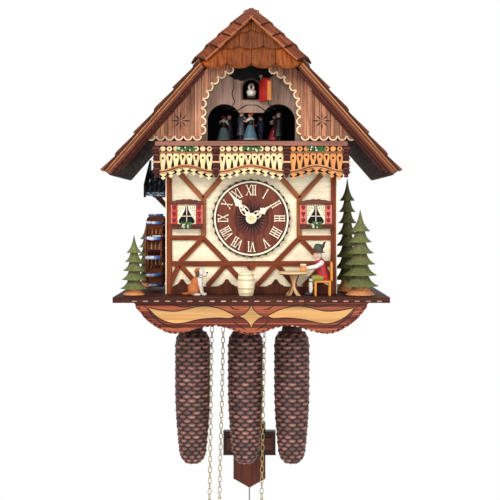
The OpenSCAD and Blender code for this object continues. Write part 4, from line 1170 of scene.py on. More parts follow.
for f in BOTH_SIDES:
    rails.add(f(block(118.2, 121.6, -212, -186, 159.6, 164.8)), srgb(140, 80, 52), along=DEEP)
    rails.add(f(block(118.2, 121.6, -212, -186, 182.3, 184.6)), srgb(140, 80, 52), along=DEEP)
    for k in range(4):
        y = -208 + k * 6
        frets.add(f(block(119, 120.6, y - 2.3, y + 2.3, 164.8, 182.4)), FRET_RIGHT, along=UP)
rails.make("case", WOOD, ("balcony_rails",), "brown_wood", bevel=0.25)
frets.make("case", CREAM_WOOD, ("balcony_balusters",), "cream_wood")


def sprig(piece, cx, cy, cz, wide, high, leaves, blooms, seed):
    """Moss-green leaves with small white flowers."""
    r = random.Random(seed)
    for _ in range(leaves):
        x, z = cx + r.uniform(-wide, wide), cz + r.uniform(-high, high) * 0.8
        turn = spin("Y", r.uniform(0, 360)) @ spin("X", r.uniform(-35, 35))
        s = ball((x, cy - r.uniform(0, 1.4), z), (r.uniform(1.6, 2.6), 0.45, 0.8), 8, turn)
        tone = r.uniform(0.6, 2.2)
        piece.add(s, toned(GREEN, tone), vary=0.1)
    for _ in range(blooms):
        x, z = cx + r.uniform(-wide, wide) * 0.8, cz + r.uniform(-high, high) * 0.7
        for k in range(5):
            a = k * 2 * pi / 5
            piece.add(ball((x + 0.75 * cos(a), cy - 1.9, z + 0.75 * sin(a)), (0.5, 0.35, 0.5), 6), WHITE,
                      vary=0.03)
        piece.add(ball((x, cy - 2.15, z), 0.45, 6), srgb(226, 190, 70))


greens = Piece("balcony_sprigs")
for i, (x0, x1, n, tint) in enumerate(BAYS):
    sprig(greens, (x0 + x1) / 2, -216.2, 188, 11.5, 3.6, 46, 5, 20 + i)
greens.make("case", PAINT, slot="green_paint")

# ---------------------------------------------------------------- front of the house

FRONT = -186
HALF_W, STAGE_Z = 110.7, 192
panel = Piece("grooved_front_panels")


def grooved(x0, x1, z0, z1):
    """Boarding with a fine groove every few millimetres."""
    pitch = 3.2
    line, z = [(FRONT, z0)], z0
    while z + pitch < z1:
        z += pitch
        line += [(FRONT, z - 0.45), (FRONT + 0.45, z - 0.2), (FRONT, z + 0.05)]
    line.append((FRONT, z1))
    return side_plate(line + [(-180, z1), (-180, z0)], x0, x1)


# Round the square hole of the hands' shafts
PANELS = ((-HALF_W, -12, 0, STAGE_Z), (12, HALF_W, 0, STAGE_Z), (-12, 12, 0, 87), (-12, 12, 111, STAGE_Z))
for x0, x1, z0, z1 in PANELS:
    panel.add(grooved(x0, x1, z0, z1), PANEL, vary=0.01)
panel.make("case", CREAM_WOOD, ("facade_panel",), "cream_wood")

beams = Piece("half_timbering")
F0, F1, W = FRONT - 3, FRONT, 6.6


def hump(cx):
    """A scroll hump of the skirting board with its two ears."""
    half = [(-15, 9.9), (-10.8, 10.4), (-9.0, 12.0), (-6.4, 12.8), (-4.2, 15.0), (-3.0, 16.2), (-2.6, 18.0),
            (-1.4, 19.2), (0, 19.5)]
    return [(cx + a, b) for a, b in half] + [(cx - a, b) for a, b in half[-2::-1]]


def board(shape, along, tone=1.0, w=0.1, colour=BEAM):
    """Adds one timber of the half-timbering."""
    beams.add(shape, toned(colour, tone), along=along, vary=w)


POST_IN, POST_OUT, KNOBS = 104, HALF_W, (32, 90.5)
skirting = [(-POST_IN, 0), (-POST_IN, 9.8)] + hump(-90.5)[1:] + hump(-32) + hump(32) + hump(90.5)[:-1]
skirting += [(POST_IN, 9.8), (POST_IN, 0)]
UPPER_BRACES = (((92, 156), (63, 124.6)), ((37, 154), (63, 124.6)))
LOWER_BRACES = (((63, 73), (93, 42)), ((63, 73), (32, 41)), ((94, 39), (106, 13)), ((94, 39), (68.5, 10)),
                ((33, 39), (57.6, 10)), ((33, 39), (6.4, 10)))
for s in (-1, 1):
    outer = [(s * x, z) for x, z in ((POST_IN, 0), (POST_OUT, 0), (POST_OUT, STAGE_Z), (POST_IN, STAGE_Z))]
    board(plate(outer, F0 - 0.4, F1), UP)
    # The inner posts and the upper braces take the lighter tan, as painted light on the upper timbers
    inner = [(s * x, z) for x, z in ((59.2, 76), (66, 76), (66, 126), (59.2, 126))]
    board(plate(inner, F0, F1), UP, colour=BEAM_PAINTED_LIGHT)
    for braces, colour in ((UPPER_BRACES, BEAM_PAINTED_LIGHT), (LOWER_BRACES, BEAM)):
        for (x0, z0), (x1, z1) in braces:
            brace = bar((s * x0, z0), (s * x1, z1), W, F0 + 0.1, F1)
            board(brace, (s * (x1 - x0), 0, z1 - z0), 0.95, colour=colour)
    board(block(*sorted((s * 60, s * 105)), F0 - 0.1, F1, 70.4, 76.6), ACROSS)
board(block(-105, 105, F0 - 0.2, F1, 36.2, 43.2), ACROSS)
drop = [(-5.5, 37), (-5, 33), (-2.6, 31.4), (0, 30.6), (2.6, 31.4), (5, 33), (5.5, 37)]
board(plate(drop, F0 - 0.2, F1), UP)
board(plate(skirting, F0 - 0.5, F1), UP, 0.42, 0.02)
for s in (-1, 1):
    for c in KNOBS:
        knob = [(s * c + a, z) for a, z in ((-4.4, 15.3), (0, 11.8), (4.4, 15.3), (0, 18.0))]
        board(plate(knob, F0 - 1.1, F1), ACROSS, 0.4)
beams.make("case", WOOD, ("timber_frame",), "brown_wood", bevel=0.35)
edging = Piece("corner_edging")
for s in (-1, 1):
    edging.add(block(*sorted((s * 110.75, s * 112.0)), F0 - 0.3, -178, 0.3, 191.6), CREAM, along=UP)
edging.make("case", CREAM_WOOD, slot="cream_wood", bevel=0.2)

# ---------------------------------------------------------------- windows


WINDOW_X, WINDOW_DROP = 84.3, 1.8
MOTIFS = {
    "heart": [(0, -3.6), (1.7, 0.2), (1.5, 2.0), (0.7, 2.4), (0, 1.6)],
    "tulip": [(0, -2.4), (1.3, -1.6), (1.7, 0.4), (1.6, 2.3), (0.8, 1.2), (0, 2.5)],
}


def window_trim(label, x):
    """The board behind the window, its arched head and the flower box."""
    w = Piece("window_" + label + "_trim")
    w.add(block(x - 16.5, x + 16.5, -189, -186, 88, 122), srgb(112, 64, 44), along=UP)
    w.add(block(x - 11.3, x + 11.3, -189.25, -188.9, 93, 119.3), srgb(6, 7, 8), vary=0)
    half = 20.6
    arcs = []
    for t in range(25):
        q = -half + 2 * half * t / 24
        arcs.append((x + q, 122.2 + 3.0 * cos(q / half * pi / 2) + 0.9 * abs(sin(q / half * pi * 2.5))))
    w.add(plate([(x - half, 118.8), (x + half, 118.8)] + arcs[::-1], -193, -189), srgb(112, 62, 48))
    w.add(block(x - 20, x + 20, -196.4, -189, 86.9, 92.9), srgb(104, 54, 40))
    w.add(block(x - 20.6, x + 20.6, -196.9, -189, 92.2, 93.4), srgb(120, 66, 48))
    for dx in (-10.5, 0, 10.5):
        w.add(block(x + dx - 0.4, x + dx + 0.4, -196.8, -196, 87.4, 92), srgb(60, 30, 24), along=UP)
    w.lower(WINDOW_DROP)
    w.make("case", WOOD, ("window_" + label,), "brown_wood", bevel=0.3)


def window_panes(label, x):
    """The cream frame with its curtain-shaped opening, and the lace as short dark dashes."""
    c = Piece("window_" + label + "_panes")
    frame_rect = [(x - 12, 93.2), (x + 12, 93.2), (x + 12, 119.4), (x - 12, 119.4)]
    arch_hole = [(x - 8.4, 94), (x + 8.4, 94), (x + 10.7, 96.2), (x + 9.9, 99), (x + 6.3, 104.4),
                 (x + 2.4, 111.5), (x + 1.5, 117.6),
                 (x - 1.5, 117.6), (x - 2.4, 111.5), (x - 6.3, 104.4), (x - 9.9, 99), (x - 10.7, 96.2)]
    c.add(fret([frame_rect, arch_hole], -190.6, -189.2, 0.2), srgb(255, 244, 214), along=UP)
    c.add(block(x - 0.5, x + 0.5, -190.4, -189.2, 94.5, 118), srgb(252, 226, 212), along=UP, vary=0)
    c.add(block(x - 7.0, x + 7.0, -190.4, -189.2, 103.2, 104.2), srgb(252, 226, 212), vary=0)
    r = random.Random(int(x))
    for s in (-1, 1):
        for k in range(6):
            for j in range(4):
                u, z = 10.6 - j * 2.5 - 0.7 * (k % 2), 117.4 - 3.1 * k
                if u > 2.9 + 1.5 * k:
                    dash = block(-0.3, 0.3, -190.95, -190.5, -1.15, 1.15)
                    c.add(moved(dash, (x + s * u, 0, z), spin("Y", s * 38)), srgb(74, 58, 34), vary=0)
    c.lower(WINDOW_DROP)
    c.make("case", CREAM_WOOD, slot="cream_wood")


def window_shutters(label, x):
    """Two red shutters with painted tulips and a heart."""
    s = Piece("window_" + label + "_shutters")
    for side in (-1, 1):
        cx = x + side * 16.7
        rect = [(cx - 4.1, 93.2), (cx + 4.1, 93.2), (cx + 4.1, 119.2), (cx - 4.1, 119.2)]
        inner, outer = (srgb(206, 56, 46), srgb(206, 110, 104)) if x < 0 else (srgb(226, 108, 92),
                                                                               srgb(232, 130, 116))
        s.add(fret([rect], -190.9, -189, 0.3), inner, along=UP, vary=0.03)
        away = side if x < 0 else 1
        s.add(block(*sorted((cx + away * 2.1, cx + away * 4.1)), -191.0, -189, 94, 118.4), outer, vary=0.02)
        for z, kind in ((115, "tulip"), (106.5, "heart"), (98.5, "tulip")):
            shape = [(cx - 0.4 * side + a * 1.5, z + b * 1.3) for a, b in mirrored_outline(MOTIFS[kind])]
            s.add(plate(shape, -191.25, -190.7), srgb(122, 10, 12), vary=0.02)
        s.add(block(cx - 4.3, cx + 4.3, -191.3, -189, 93, 94), srgb(150, 36, 30))
        s.add(block(cx - 4.3, cx + 4.3, -191.3, -189, 118.4, 119.4), srgb(170, 44, 36))
    s.lower(WINDOW_DROP)
    s.make("case", WALL_PAINT, slot="red_paint")


for label, x in (("left", -WINDOW_X), ("right", WINDOW_X)):
    window_trim(label, x)
    window_panes(label, x)
    window_shutters(label, x)
    f = Piece("window_" + label + "_flowers")
    sprig(f, x, -196.4, 92.2, 6.2, 4.6, 40, 6, 40 + int(x))
    f.lower(WINDOW_DROP)
    f.make("case", PAINT, slot="green_paint")

# ---------------------------------------------------------------- dial

DIAL_Z, DIAL_FACE = 99, -191


def dial_point(r, angle):
    """Point (x, z) of the dial at radius r, angle in degrees clockwise from twelve."""
    a = math.radians(angle)
    return r * sin(a), DIAL_Z + r * cos(a)


def dial_circle(r):
    n = 96
    return [dial_point(r, k * 360 / n) for k in range(n)]


dial = Piece("carved_dial")
SCALLOPS = 32
rim = [dial_point(52.2 - 2.4 * abs(sin(pi * k / 240 * SCALLOPS)) ** 0.7, k * 1.5) for k in range(240)]
dial.add(plate(rim, DIAL_FACE, FRONT), srgb(50, 28, 20), along=UP)
for r, y, c in ((45.5, DIAL_FACE - 0.25, DIAL), (23.4, DIAL_FACE - 0.45, srgb(104, 52, 44))):
    dial.add(fret([dial_circle(r)], y, DIAL_FACE + 0.2, 0.1), c, along=UP, vary=0)
for i in range(24):
    a = i * 15
    ray = [dial_point(r, a + turn) for r, turn in ((7.2, -6.5), (13, -3.6), (20.5, 0), (13, 3.6),
                                                   (7.2, 6.5))]
    dial.add(plate(ray, DIAL_FACE - 0.8, DIAL_FACE), srgb(9, 3, 3), vary=0)
dial.make("case", WOOD, ("dial_plate",), "brown_wood")

ring = Piece("dial_ring_and_numerals")
ring.add(fret([dial_circle(48.7), dial_circle(46.4)], DIAL_FACE - 1.4, DIAL_FACE + 0.1, 0.3), CREAM, vary=0)
NUMERALS = ("XII", "I", "II", "III", "IIII", "V", "VI", "VII", "VIII", "IX", "X", "XI")
NUMERAL_WIDTH = {"I": 3.2, "V": 7.0, "X": 7.4}
NUMERAL_LOW, NUMERAL_HIGH, NUMERAL_ROOM = 30.5, 43.2, 15.0


def numeral_strokes(text):
    """Strokes as (x at the foot, x at the head, width), and the squeeze that fits them in the ring."""
    total = sum(NUMERAL_WIDTH[t] for t in text)
    x, strokes = -total / 2, []
    for t in text:
        w = NUMERAL_WIDTH[t]
        c, h = x + w / 2, w / 2 - 0.9
        if t == "I":
            strokes.append((c, c, 1.5))
        elif t == "V":
            strokes += [(c, c - h, 1.7), (c, c + h, 1.0)]
        else:
            strokes += [(c - h, c + h, 1.0), (c + h, c - h, 1.7)]
        x += w
    return strokes, min(1, NUMERAL_ROOM / total)


def numeral_shapes(text):
    """A raised numeral at twelve o'clock: the tie between its I strokes, the strokes and their serifs."""
    strokes, squeeze = numeral_strokes(text)
    shapes = []
    if text.count("I") > 1:
        bars = [foot for foot, head, _ in strokes if foot == head]
        shapes.append(block(min(bars) * squeeze, max(bars) * squeeze, DIAL_FACE - 1.2, DIAL_FACE, 36.4,
                            37.2))
    for foot, head, width in strokes:
        foot, head = foot * squeeze, head * squeeze
        half = width * (0.8 if squeeze == 1 else 0.7) / 2
        ends = ((foot, NUMERAL_LOW), (head, NUMERAL_HIGH))
        outline = [(foot - half, NUMERAL_LOW), (foot + half, NUMERAL_LOW), (head + half, NUMERAL_HIGH),
                   (head - half, NUMERAL_HIGH)]
        shapes.append(plate(outline, DIAL_FACE - 1.3, DIAL_FACE))
        for x, z in ends:
            serif = [(x + sx * (half + 0.75), z + sz * 0.45) for sx,
                     sz in ((-1, -1), (1, -1), (1, 1), (-1, 1))]
            shapes.append(plate(serif, DIAL_FACE - 1.35, DIAL_FACE))
    return shapes


for hour, text in enumerate(NUMERALS):
    for shape in numeral_shapes(text):
        ring.add(moved(shape, (0, 0, DIAL_Z), spin("Y", hour * 30)), CREAM, vary=0)
ring.make("case", PLASTIC, ("dial_ring",), "cream_plastic", bevel=0.15)


HAND_SIDE = ((0.10, 1.6), (0.16, 3.4), (0.22, 4.9), (0.30, 5.3), (0.38, 4.5), (0.46, 2.9), (0.50, 2.4),
             (0.53, 4.0), (0.57, 5.6),
             (0.59, 4.4), (0.62, 3.0), (0.67, 3.6), (0.69, 2.1), (0.80, 1.3), (0.95, 0.7), (1.0, 0.2))


def hand(name, body, reach, angle, y, hub, bore, node):
    """A carved hand: two branches from the hub that close in a leaf, and a long tip."""
    p = Piece(name)
    half = [(w, reach * t) for t, w in HAND_SIDE]
    shapes = [[half + [(-w, z) for w, z in half[::-1]]], [ring_of(hub, 32), ring_of(bore, 20)]]
    for s in (-1, 1):
        shapes[0].append(ring_of(1.6, 14, (s * 2.7, reach * 0.27), 0, reach * 0.075))
        shapes[0].append(ring_of(0.8, 12, (s * 1.7, reach * 0.40), 0, reach * 0.045))
    turn = spin("Y", angle)
    for i, outline in enumerate(shapes):
        p.add(moved(fret(outline, -0.55 - 0.1 * i, 0.55, 0.2), (0, y, DIAL_Z), turn), CREAM, vary=0.02)
    p.add(moved(fret([ring_of(hub - 1.2, 24), ring_of(bore + 0.3, 20)], -0.9, -0.4, 0.2), (0, y, DIAL_Z),
                turn), CREAM, vary=0)
    p.make(body, PLASTIC, (node,), "cream_plastic")


hand("hour_hand_carved", "hour_hand_set", 31, 57, -196.4, 7.2, 3.5, "hour_hand")
hand("minute_hand_carved", "minute_hand_set", 45.5, 319.8, -199.0, 5.4, 2.0, "minute_hand")

# ---------------------------------------------------------------- apron

AP_Y = -228
CUT_LINE = srgb(44, 20, 16)
EDGE = [(149, -7), (147, -13), (141, -21), (133, -30), (124, -37), (114, -43), (105, -46.5), (96, -47.5),
        (84, -46), (70, -42), (57, -39), (43.5, -38), (31, -40.5), (18, -45), (8, -48.2), (0, -49)]
right_edge = flat_curve(EDGE, 1.75)
notched = []
for i, (x, z) in enumerate(right_edge):
    a, b = right_edge[max(i - 1, 0)], right_edge[min(i + 1, len(right_edge) - 1)]
    tx, tz = b[0] - a[0], b[1] - a[1]
    ln = math.hypot(tx, tz)
    d = 0.55 * (1 - cos(i * 2 * pi / 4)) if 1 < i < len(right_edge) - 1 else 0
    notched.append((x + tz / ln * d, z + d * abs(tx) / ln))
outline = notched + [(-x, z) for x, z in notched[-2::-1]]
apron = Piece("carved_apron")
apron.add(fret([outline], AP_Y, AP_Y + 7, 0.7), srgb(188, 98, 62), vary=0)
# Along the notched lower edge: light flakes that are partly light cut wood and partly painted glints, and
# dark flakes between them that are painted shade in the notches
for i in range(6, len(right_edge) - 1, 4):
    x, z = right_edge[i]
    tilt = math.degrees(math.atan2(right_edge[i + 1][1] - right_edge[i - 1][1],
                                   right_edge[i + 1][0] - right_edge[i - 1][0]))
    for s in (1, -1):
        turn = spin("Y", -s * tilt)
        cut_and_glint_flake, gap = ball((0, 0, 0), (2.3, 0.7, 0.75), 8), ball((0, 0, 0), (1.9, 0.6, 0.9), 8)
        apron.add(moved(cut_and_glint_flake, (s * x, AP_Y - 0.1, z + 1.3), turn), srgb(240, 190, 168), vary=0.3)
        apron.add(moved(gap, (s * (x + right_edge[i + 1][0]) / 2 - s * 2, AP_Y - 0.05, z + 1.6), turn),
                  srgb(60, 26, 20))


LOWER = [(-130, -14.5), (-125, -20), (-118, -26), (-108, -31), (-96, -33.8), (-84, -32.4), (-72, -29.6),
         (-59, -27.4), (-42, -26.4), (-28, -27), (-21.5, -24.6)]
UPPER = [(-21.5, -24.6), (-29, -20.4), (-38, -16.4), (-50, -13.2), (-61, -12.4), (-72, -13.8), (-82, -16.4),
         (-95, -19), (-111, -18.2), (-130, -14.5)]


def grown(points, d):
    out = []
    for i, (x, z) in enumerate(points):
        a, b = points[i - 1], points[(i + 1) % len(points)]
        tx, tz = b[0] - a[0], b[1] - a[1]
        ln = math.hypot(tx, tz) or 1
        out.append((x + tz / ln * d, z - tx / ln * d))
    return out


wave = flat_curve(LOWER, 2.5)[:-1] + flat_curve(UPPER, 2.5)[:-1]
star = []
for k in range(4):
    for t in range(8):
        a = pi / 2 * (k + t / 8)
        f = 1 / (abs(cos(a)) ** 0.72 + abs(sin(a)) ** 0.72) ** (1 / 0.72)
        star.append((14.5 * cos(a) * f, -25 + 14.2 * sin(a) * f))
inlay = Piece("apron_inlays")
for s in (1, -1):
    loop = [(s * x, z) for x, z in wave]
    around = [(s * x, z) for x, z in grown(wave, 1.1)]
    apron.add(plate(around, AP_Y - 0.3, AP_Y + 1), CUT_LINE, vary=0)
    inlay.add(plate(loop, AP_Y - 0.75, AP_Y + 1), srgb(212, 166, 108), vary=0.02)
apron.add(plate(grown(star, 1.1), AP_Y - 0.3, AP_Y + 1), CUT_LINE, vary=0)
inlay.add(plate(star, AP_Y - 0.75, AP_Y + 1), srgb(194, 152, 98), vary=0)
for s in (1, -1):
    lines = [[(s * 141, -9), (s * 133, -14), (s * 127, -22), (s * 114, -33), (s * 98, -39.5),
              (s * 84, -38.5)],
             [(s * 104, -9.5), (s * 86, -13), (s * 76, -11.5), (s * 66, -9)],
             [(s * 30, -10), (s * 22, -15.5), (s * 14, -16)],
             [(s * 24, -30), (s * 14, -38), (s * 5, -43)]]
    for line in lines:
        apron.add(stroke(line, 1.4, 0.3, 2.5, AP_Y - 0.25, AP_Y + 1), CUT_LINE, vary=0)
apron.make("case", STRIPED_WOOD, ("front_apron",), "shingle_wood")
inlay.make("case", wood("inlay_wood", grain=(5, 300, 300), dark=(0.72, 0.5, 0.3), streak=0.8, pores=0.35,
                        rough=(0.4, 0.55)),
           slot="cream_wood", bevel=0.2)

# Painted glints along the platform's flutes, as light dashes, with dark blocks set back in the flutes below
# them
flutes = Piece("platform_edge")
for k in range(-11, 12):
    x = k * 14 + 7
    flutes.add(block(x - 3.2, x + 3.2, -240, -236.5, -5.5, -4.2), srgb(214, 170, 150), vary=0.3)
    flutes.add(block(x - 6.2, x + 6.2, -237.4, -232, -6.9, -5.9), srgb(52, 26, 20), vary=0.1)
flutes.make("case", WOOD, slot="dark_wood", bevel=0.4)

# ---------------------------------------------------------------- weights

CONE_TOP, CONE_LEN, CONE_R = -59, 181.5, 24.75


def cone_profile(t):
    top = 0.70 + 0.30 * math.sqrt(1 - (1 - min(t / 0.1, 1)) ** 2)
    return CONE_R * top * (1 - 0.31 * max(0, (t - 0.42) / 0.58) ** 1.8)


def cone_weight(seed):
    """A pine cone of lens-shaped scales in staggered rows, bright on each scale's crest: partly rubbed
    copper, partly a painted highlight.
    """
    around, rows_n, per_col, per_row = 10, 16, 12, 12
    cols, rings = around * per_col, rows_n * per_row
    points, faces, colours = [], [], []
    valley, rubbed_crest_and_highlight = srgb(40, 22, 22), srgb(226, 158, 142)
    rnd = random.Random(seed)
    tones = {}
    for i in range(rings + 1):
        t = i / rings
        z = CONE_TOP - 1.5 - (CONE_LEN - 3) * t
        close = min(1.0, (1 - t) / 0.085)
        base = cone_profile(t) * (0.45 + 0.55 * math.sqrt(1 - (1 - close) ** 2))
        fade = min(1, t / 0.03) * min(1, (1 - t) / 0.02 + 0.3)
        for k in range(cols):
            u, v = k / per_col, i / per_row
            a, b = (u + v) % 1.0, (u - v) % 1.0
            scale_id = (int(math.floor(u + v + 1e-9) + math.floor(u - v + 1e-9)) % (2 * around),
                        int(math.floor(u + v + 1e-9) - math.floor(u - v + 1e-9)))
            tone = tones.setdefault(scale_id, rnd.uniform(0.25, 1.05))
            across, down = abs(a + b - 1), a - b
            lens = (1 - across) ** 0.45 * math.exp(-((down - 0.06) / 0.36) ** 2)
            rib = max(0.0, 1 - abs(down - 0.1) / 0.9) ** 0.7 * (1 - across) ** 0.4
            r = base + 0.5 - 2.9 * (1 - rib) * fade
            angle = 2 * pi * k / cols
            points.append(Vector((r * cos(angle), r * sin(angle), z)))
            m = lens ** 1.5 * tone * (0.75 + 0.25 * rnd.random())
            colours.append(mixed(valley, rubbed_crest_and_highlight, min(m, 1)))
    for i in range(rings):
        for k in range(cols):
            m = (k + 1) % cols
            faces.append((i * cols + k, i * cols + m, (i + 1) * cols + m, (i + 1) * cols + k))
    faces.append(tuple(range(cols)))
    faces.append(tuple(rings * cols + k for k in range(cols))[::-1])
    return (points, faces), colours


WEIGHT_X = {"music": -81, "time": -8, "strike": 56}
WEIGHT_Y = -110
for kind, x in WEIGHT_X.items():
    w = Piece(kind + "_pine_cone")
    shape, colours = cone_weight(x)
    w.add(moved(shape, (x, WEIGHT_Y, 0)), colours, vary=0)
    neck = [(19.5, -62.5), (17.4, -60.5), (15, -58.5), (14, -56), (13.6, -52.5), (12, -50.4), (8, -49.4),
            (1.6, -48.8), (1.3, -47.5)]
    w.add(lathe(neck[::-1], (x, WEIGHT_Y, 0), 28), srgb(70, 48, 44), vary=0)
    for k in range(9):
        a = 2 * pi * k / 9
        w.add(ball((x + 16.4 * cos(a), WEIGHT_Y + 16.4 * sin(a), -59.8), (3.4, 4.6, 1.9), 10,
                   spin("Z", math.degrees(a))),
              srgb(120, 78, 70), vary=0.2)
    tip_z = CONE_TOP - CONE_LEN
    for k in range(7):
        a = 2 * pi * k / 7
        w.add(ball((x + 7.2 * cos(a), WEIGHT_Y + 7.2 * sin(a), tip_z + 2.2), (4.6, 3.2, 1.7), 8,
                   spin("Z", math.degrees(a))),
              srgb(190, 120, 106), vary=0.2)
    w.add(lathe([(0.5, -0.1), (5, 0.2), (9, 2.6), (12, 6)], (x, WEIGHT_Y, tip_z + 0.1), 20),
          srgb(60, 40, 38))
    w.make(kind + "_weight_set", CONE_METAL, (kind + "_weight",), "cone_iron", angle=60)
    h = Piece(kind + "_loaded_chain")
    h.add(tube([(px, WEIGHT_Y, pz) for px, pz in ring_of(4.2, 24, (x, -44))], 1.2, 8, closed=True),
          BRASS_COL)
    h.add(chain_links([(x, WEIGHT_Y, -39), (x, WEIGHT_Y, 49.8)]), BRASS_COL, vary=0.02)
    h.make(kind + "_weight_set", BRASS, slot="brass", weld=False)

# ---------------------------------------------------------------- pendulum bob

PENDULUM_X = -2.7
bob = Piece("carved_pendulum_bob")
x = PENDULUM_X
WALNUT, WALNUT_DARK = srgb(98, 40, 20), srgb(50, 22, 15)
bob.add(plate([(x - 23, -196), (x + 23, -196), (x + 23, -276), (x, -289), (x - 23, -276)], -57, -43),
        WALNUT, along=UP, vary=0)
bob.add(block(x - 37.5, x + 37.5, -59, -57, -242, -208), WALNUT_DARK, vary=0)
for s in (-1, 1):
    bob.add(block(*sorted((x + s * 23, x + s * 37.5)), -57, -43, -242, -208), WALNUT_DARK)
    for dz in (0, 2.6, 5.2):
        for low, high in ((-210.8 - dz, -209.2 - dz), (-240.8 + dz, -239.2 + dz)):
            bob.add(block(*sorted((x + s * 24, x + s * 37.4)), -60.2 + dz * 0.1, -58, low, high),
                    srgb(92, 52, 38))
bob.add(block(x - 33, x + 33, -60.6, -59, -234, -216), WALNUT, vary=0)
bob.make("pendulum", wood("walnut", grain=(16, 300, 300), dark=(0.3, 0.18, 0.12), streak=0.7,
                          rough=(0.22, 0.4), coat=0.3),
         ("pendulum_bob",), "brown_wood", bevel=0.9)

# ---------------------------------------------------------------- trees

FIR, FIR_NECK_AND_SHADE, ROOT = srgb(122, 132, 80), srgb(104, 88, 64), srgb(238, 160, 108)


def fir(piece, cx, cy, top, radius, tiers, tone, seed):
    """A turned fir: bell-shaped tiers with a ragged rim, over a flared root."""
    rnd = random.Random(seed)
    n, root = 44, top * 0.1
    piece.add(lathe([(radius * 0.80, 0), (radius * 0.78, 0.8), (radius * 0.62, root * 0.35),
                     (radius * 0.47, root * 0.75),
                     (radius * 0.40, root * 1.25)], (cx, cy, 0), 28), ROOT, along=UP, vary=0.12)
    step = (top - root) / (tiers + 0.95)
    light, dark = toned(FIR, tone), toned(FIR_NECK_AND_SHADE, tone)
    for k in range(tiers):
        low = root + step * k
        high = top if k == tiers - 1 else low + step * 1.12
        r_low = radius * (0.96 - 0.44 * (k / max(tiers - 1, 1)) ** 1.15)
        r_high = 0.35 if k == tiers - 1 else radius * (0.41 - 0.22 * k / max(tiers - 1, 1))
        phases = [rnd.uniform(0, 6.28) for _ in range(3)]
        rings, colours = [], []
        # Rows of (share of width, share of height, mix from the dark brown to the green): the dark
        # underside of each tier is painted shade, the brown neck its own colour
        profile = [(0.30, 0.10, 0), (0.80, 0.03, 0.15), (1.0, 0.0, 0.75), (0.97, 0.045, 1), (0.86, 0.13, 1),
                   (0.73, 0.25, 0.9),
                   (0.62, 0.40, 0.75), (0.53, 0.58, 0.6), (0.46, 0.78, 0.45), (0.40, 1.0, 0.3)]
        for q, h, shade in profile:
            ring_points = []
            for j in range(n):
                a = 2 * pi * j / n
                wave = 0.035 * sin(9 * a + phases[0]) + 0.03 * sin(15 * a + phases[1]) + 0.02 * sin(5 * a
                        + phases[2])
                f = (q - 0.40) / 0.60 if q > 0.4 else 0
                r = r_high + (r_low - r_high) * f if h > 0.09 or q > 0.4 else r_low * 0.4
                r *= 1 + wave * max(f, 0.2) + (0.012 if j % 2 else -0.012)
                ring_points.append(Vector((cx + r * cos(a), cy + r * sin(a), low + (high - low) * h)))
                t = shade * (0.8 + 0.2 * rnd.random())
                colours.append(mixed(dark, light, t))
            rings.append(ring_points)
        piece.add(skin(rings), colours, along=UP, vary=0)


trees = Piece("turned_firs")
for i, (cx, cy, top, radius, tiers, tone) in enumerate(((141.7, -195, 110, 23.7, 6, 1.0),
                                                        (131, -130, 152.6, 18.5, 8, 0.6),
                                                        (-152.5, -195, 77, 17.8, 5, 1.05),
                                                        (-152, -47, 91, 15.5, 6, 0.7))):
    fir(trees, cx, cy, top, radius, tiers, tone, i + 3)
trees.make("case", TURNED_WOOD, ("trees",), "green_paint", angle=50)

# ---------------------------------------------------------------- mill

WHEEL_Y, WHEEL_Z = -120, 54.5
BLUE, PALE_BLUE, WATER = srgb(58, 92, 170), srgb(226, 234, 248), srgb(84, 130, 160)
DEEP_WATER, GLINT = srgb(16, 24, 34), srgb(120, 160, 190)
WHEEL_AT, BUCKETS, RIM_OUT, RIM_IN = (0, WHEEL_Y, WHEEL_Z), 12, 46, 39
wheel = Piece("mill_wheel_wood")
WHEEL_WOOD, WHEEL_DARK = srgb(134, 76, 46), srgb(92, 44, 28)
for x0 in (-142, -121):
    for s in range(8):
        a = spin("X", 45 * s + 22.5)
        wheel.add(moved(block(x0 + 0.2, x0 + 1.8, -1.7, 1.7, 6, 41), WHEEL_AT, a), WHEEL_DARK,
                  along=(a @ Vector((0, 0, 1))))
    for seg in range(12):
        a0, a1 = 2 * pi * seg / 12 + 0.01, 2 * pi * (seg + 1) / 12 - 0.01
        arc = [(RIM_OUT, a0 + (a1 - a0) * j / 6) for j in range(7)]
        arc += [(RIM_IN, a1 - (a1 - a0) * j / 6) for j in range(7)]
        wheel.add(side_plate([(WHEEL_Y + r * cos(a), WHEEL_Z + r * sin(a)) for r, a in arc], x0, x0 + 2),
                  WHEEL_WOOD, along=DEEP)
foam = Piece("mill_wheel_water")
FOAM = ((-136.6, 4.0, PALE_BLUE), (-131.4, 4.2, PALE_BLUE), (-127.6, 3.4, srgb(120, 156, 208)),
        (-123.6, 3.2, BLUE))
for i in range(BUCKETS):
    a = spin("X", 360 / BUCKETS * i + 9)
    wheel.add(moved(block(-140, -121, -1, 1, 37.5, 50.6), WHEEL_AT, a), WHEEL_WOOD, vary=0.15)
    wheel.add(moved(block(-140, -121, -12.6, -0.6, 37.4, 38.8), WHEEL_AT, a), WHEEL_DARK, vary=0.15)
    for k in range(4):
        x = -138.4 + k * 5.2
        slat = block(x - 0.8, x + 0.8, -11.8, -1.8, 38.6, 39.7)
        wheel.add(moved(slat, WHEEL_AT, a), srgb(186, 132, 88), along=DEEP, vary=0.2)
    foam.add(moved(block(-140.4, -120.6, -2.2, 2.2, 48.0, 50.0), WHEEL_AT, a), BLUE, vary=0.15)
    rnd = random.Random(i)
    for x, wide, colour in FOAM:
        blob = ball((x + rnd.uniform(-1, 1), rnd.uniform(-0.4, 0.4), 49.9), (wide, 2.5, 1.2), 12)
        foam.add(moved(blob, WHEEL_AT, a), colour, vary=0.15)
wheel.add(moved(lathe([(2.5, -149), (2.5, -92)], (0, 0, 0), 16, spin("Y", 90)), WHEEL_AT),
          srgb(150, 100, 66))
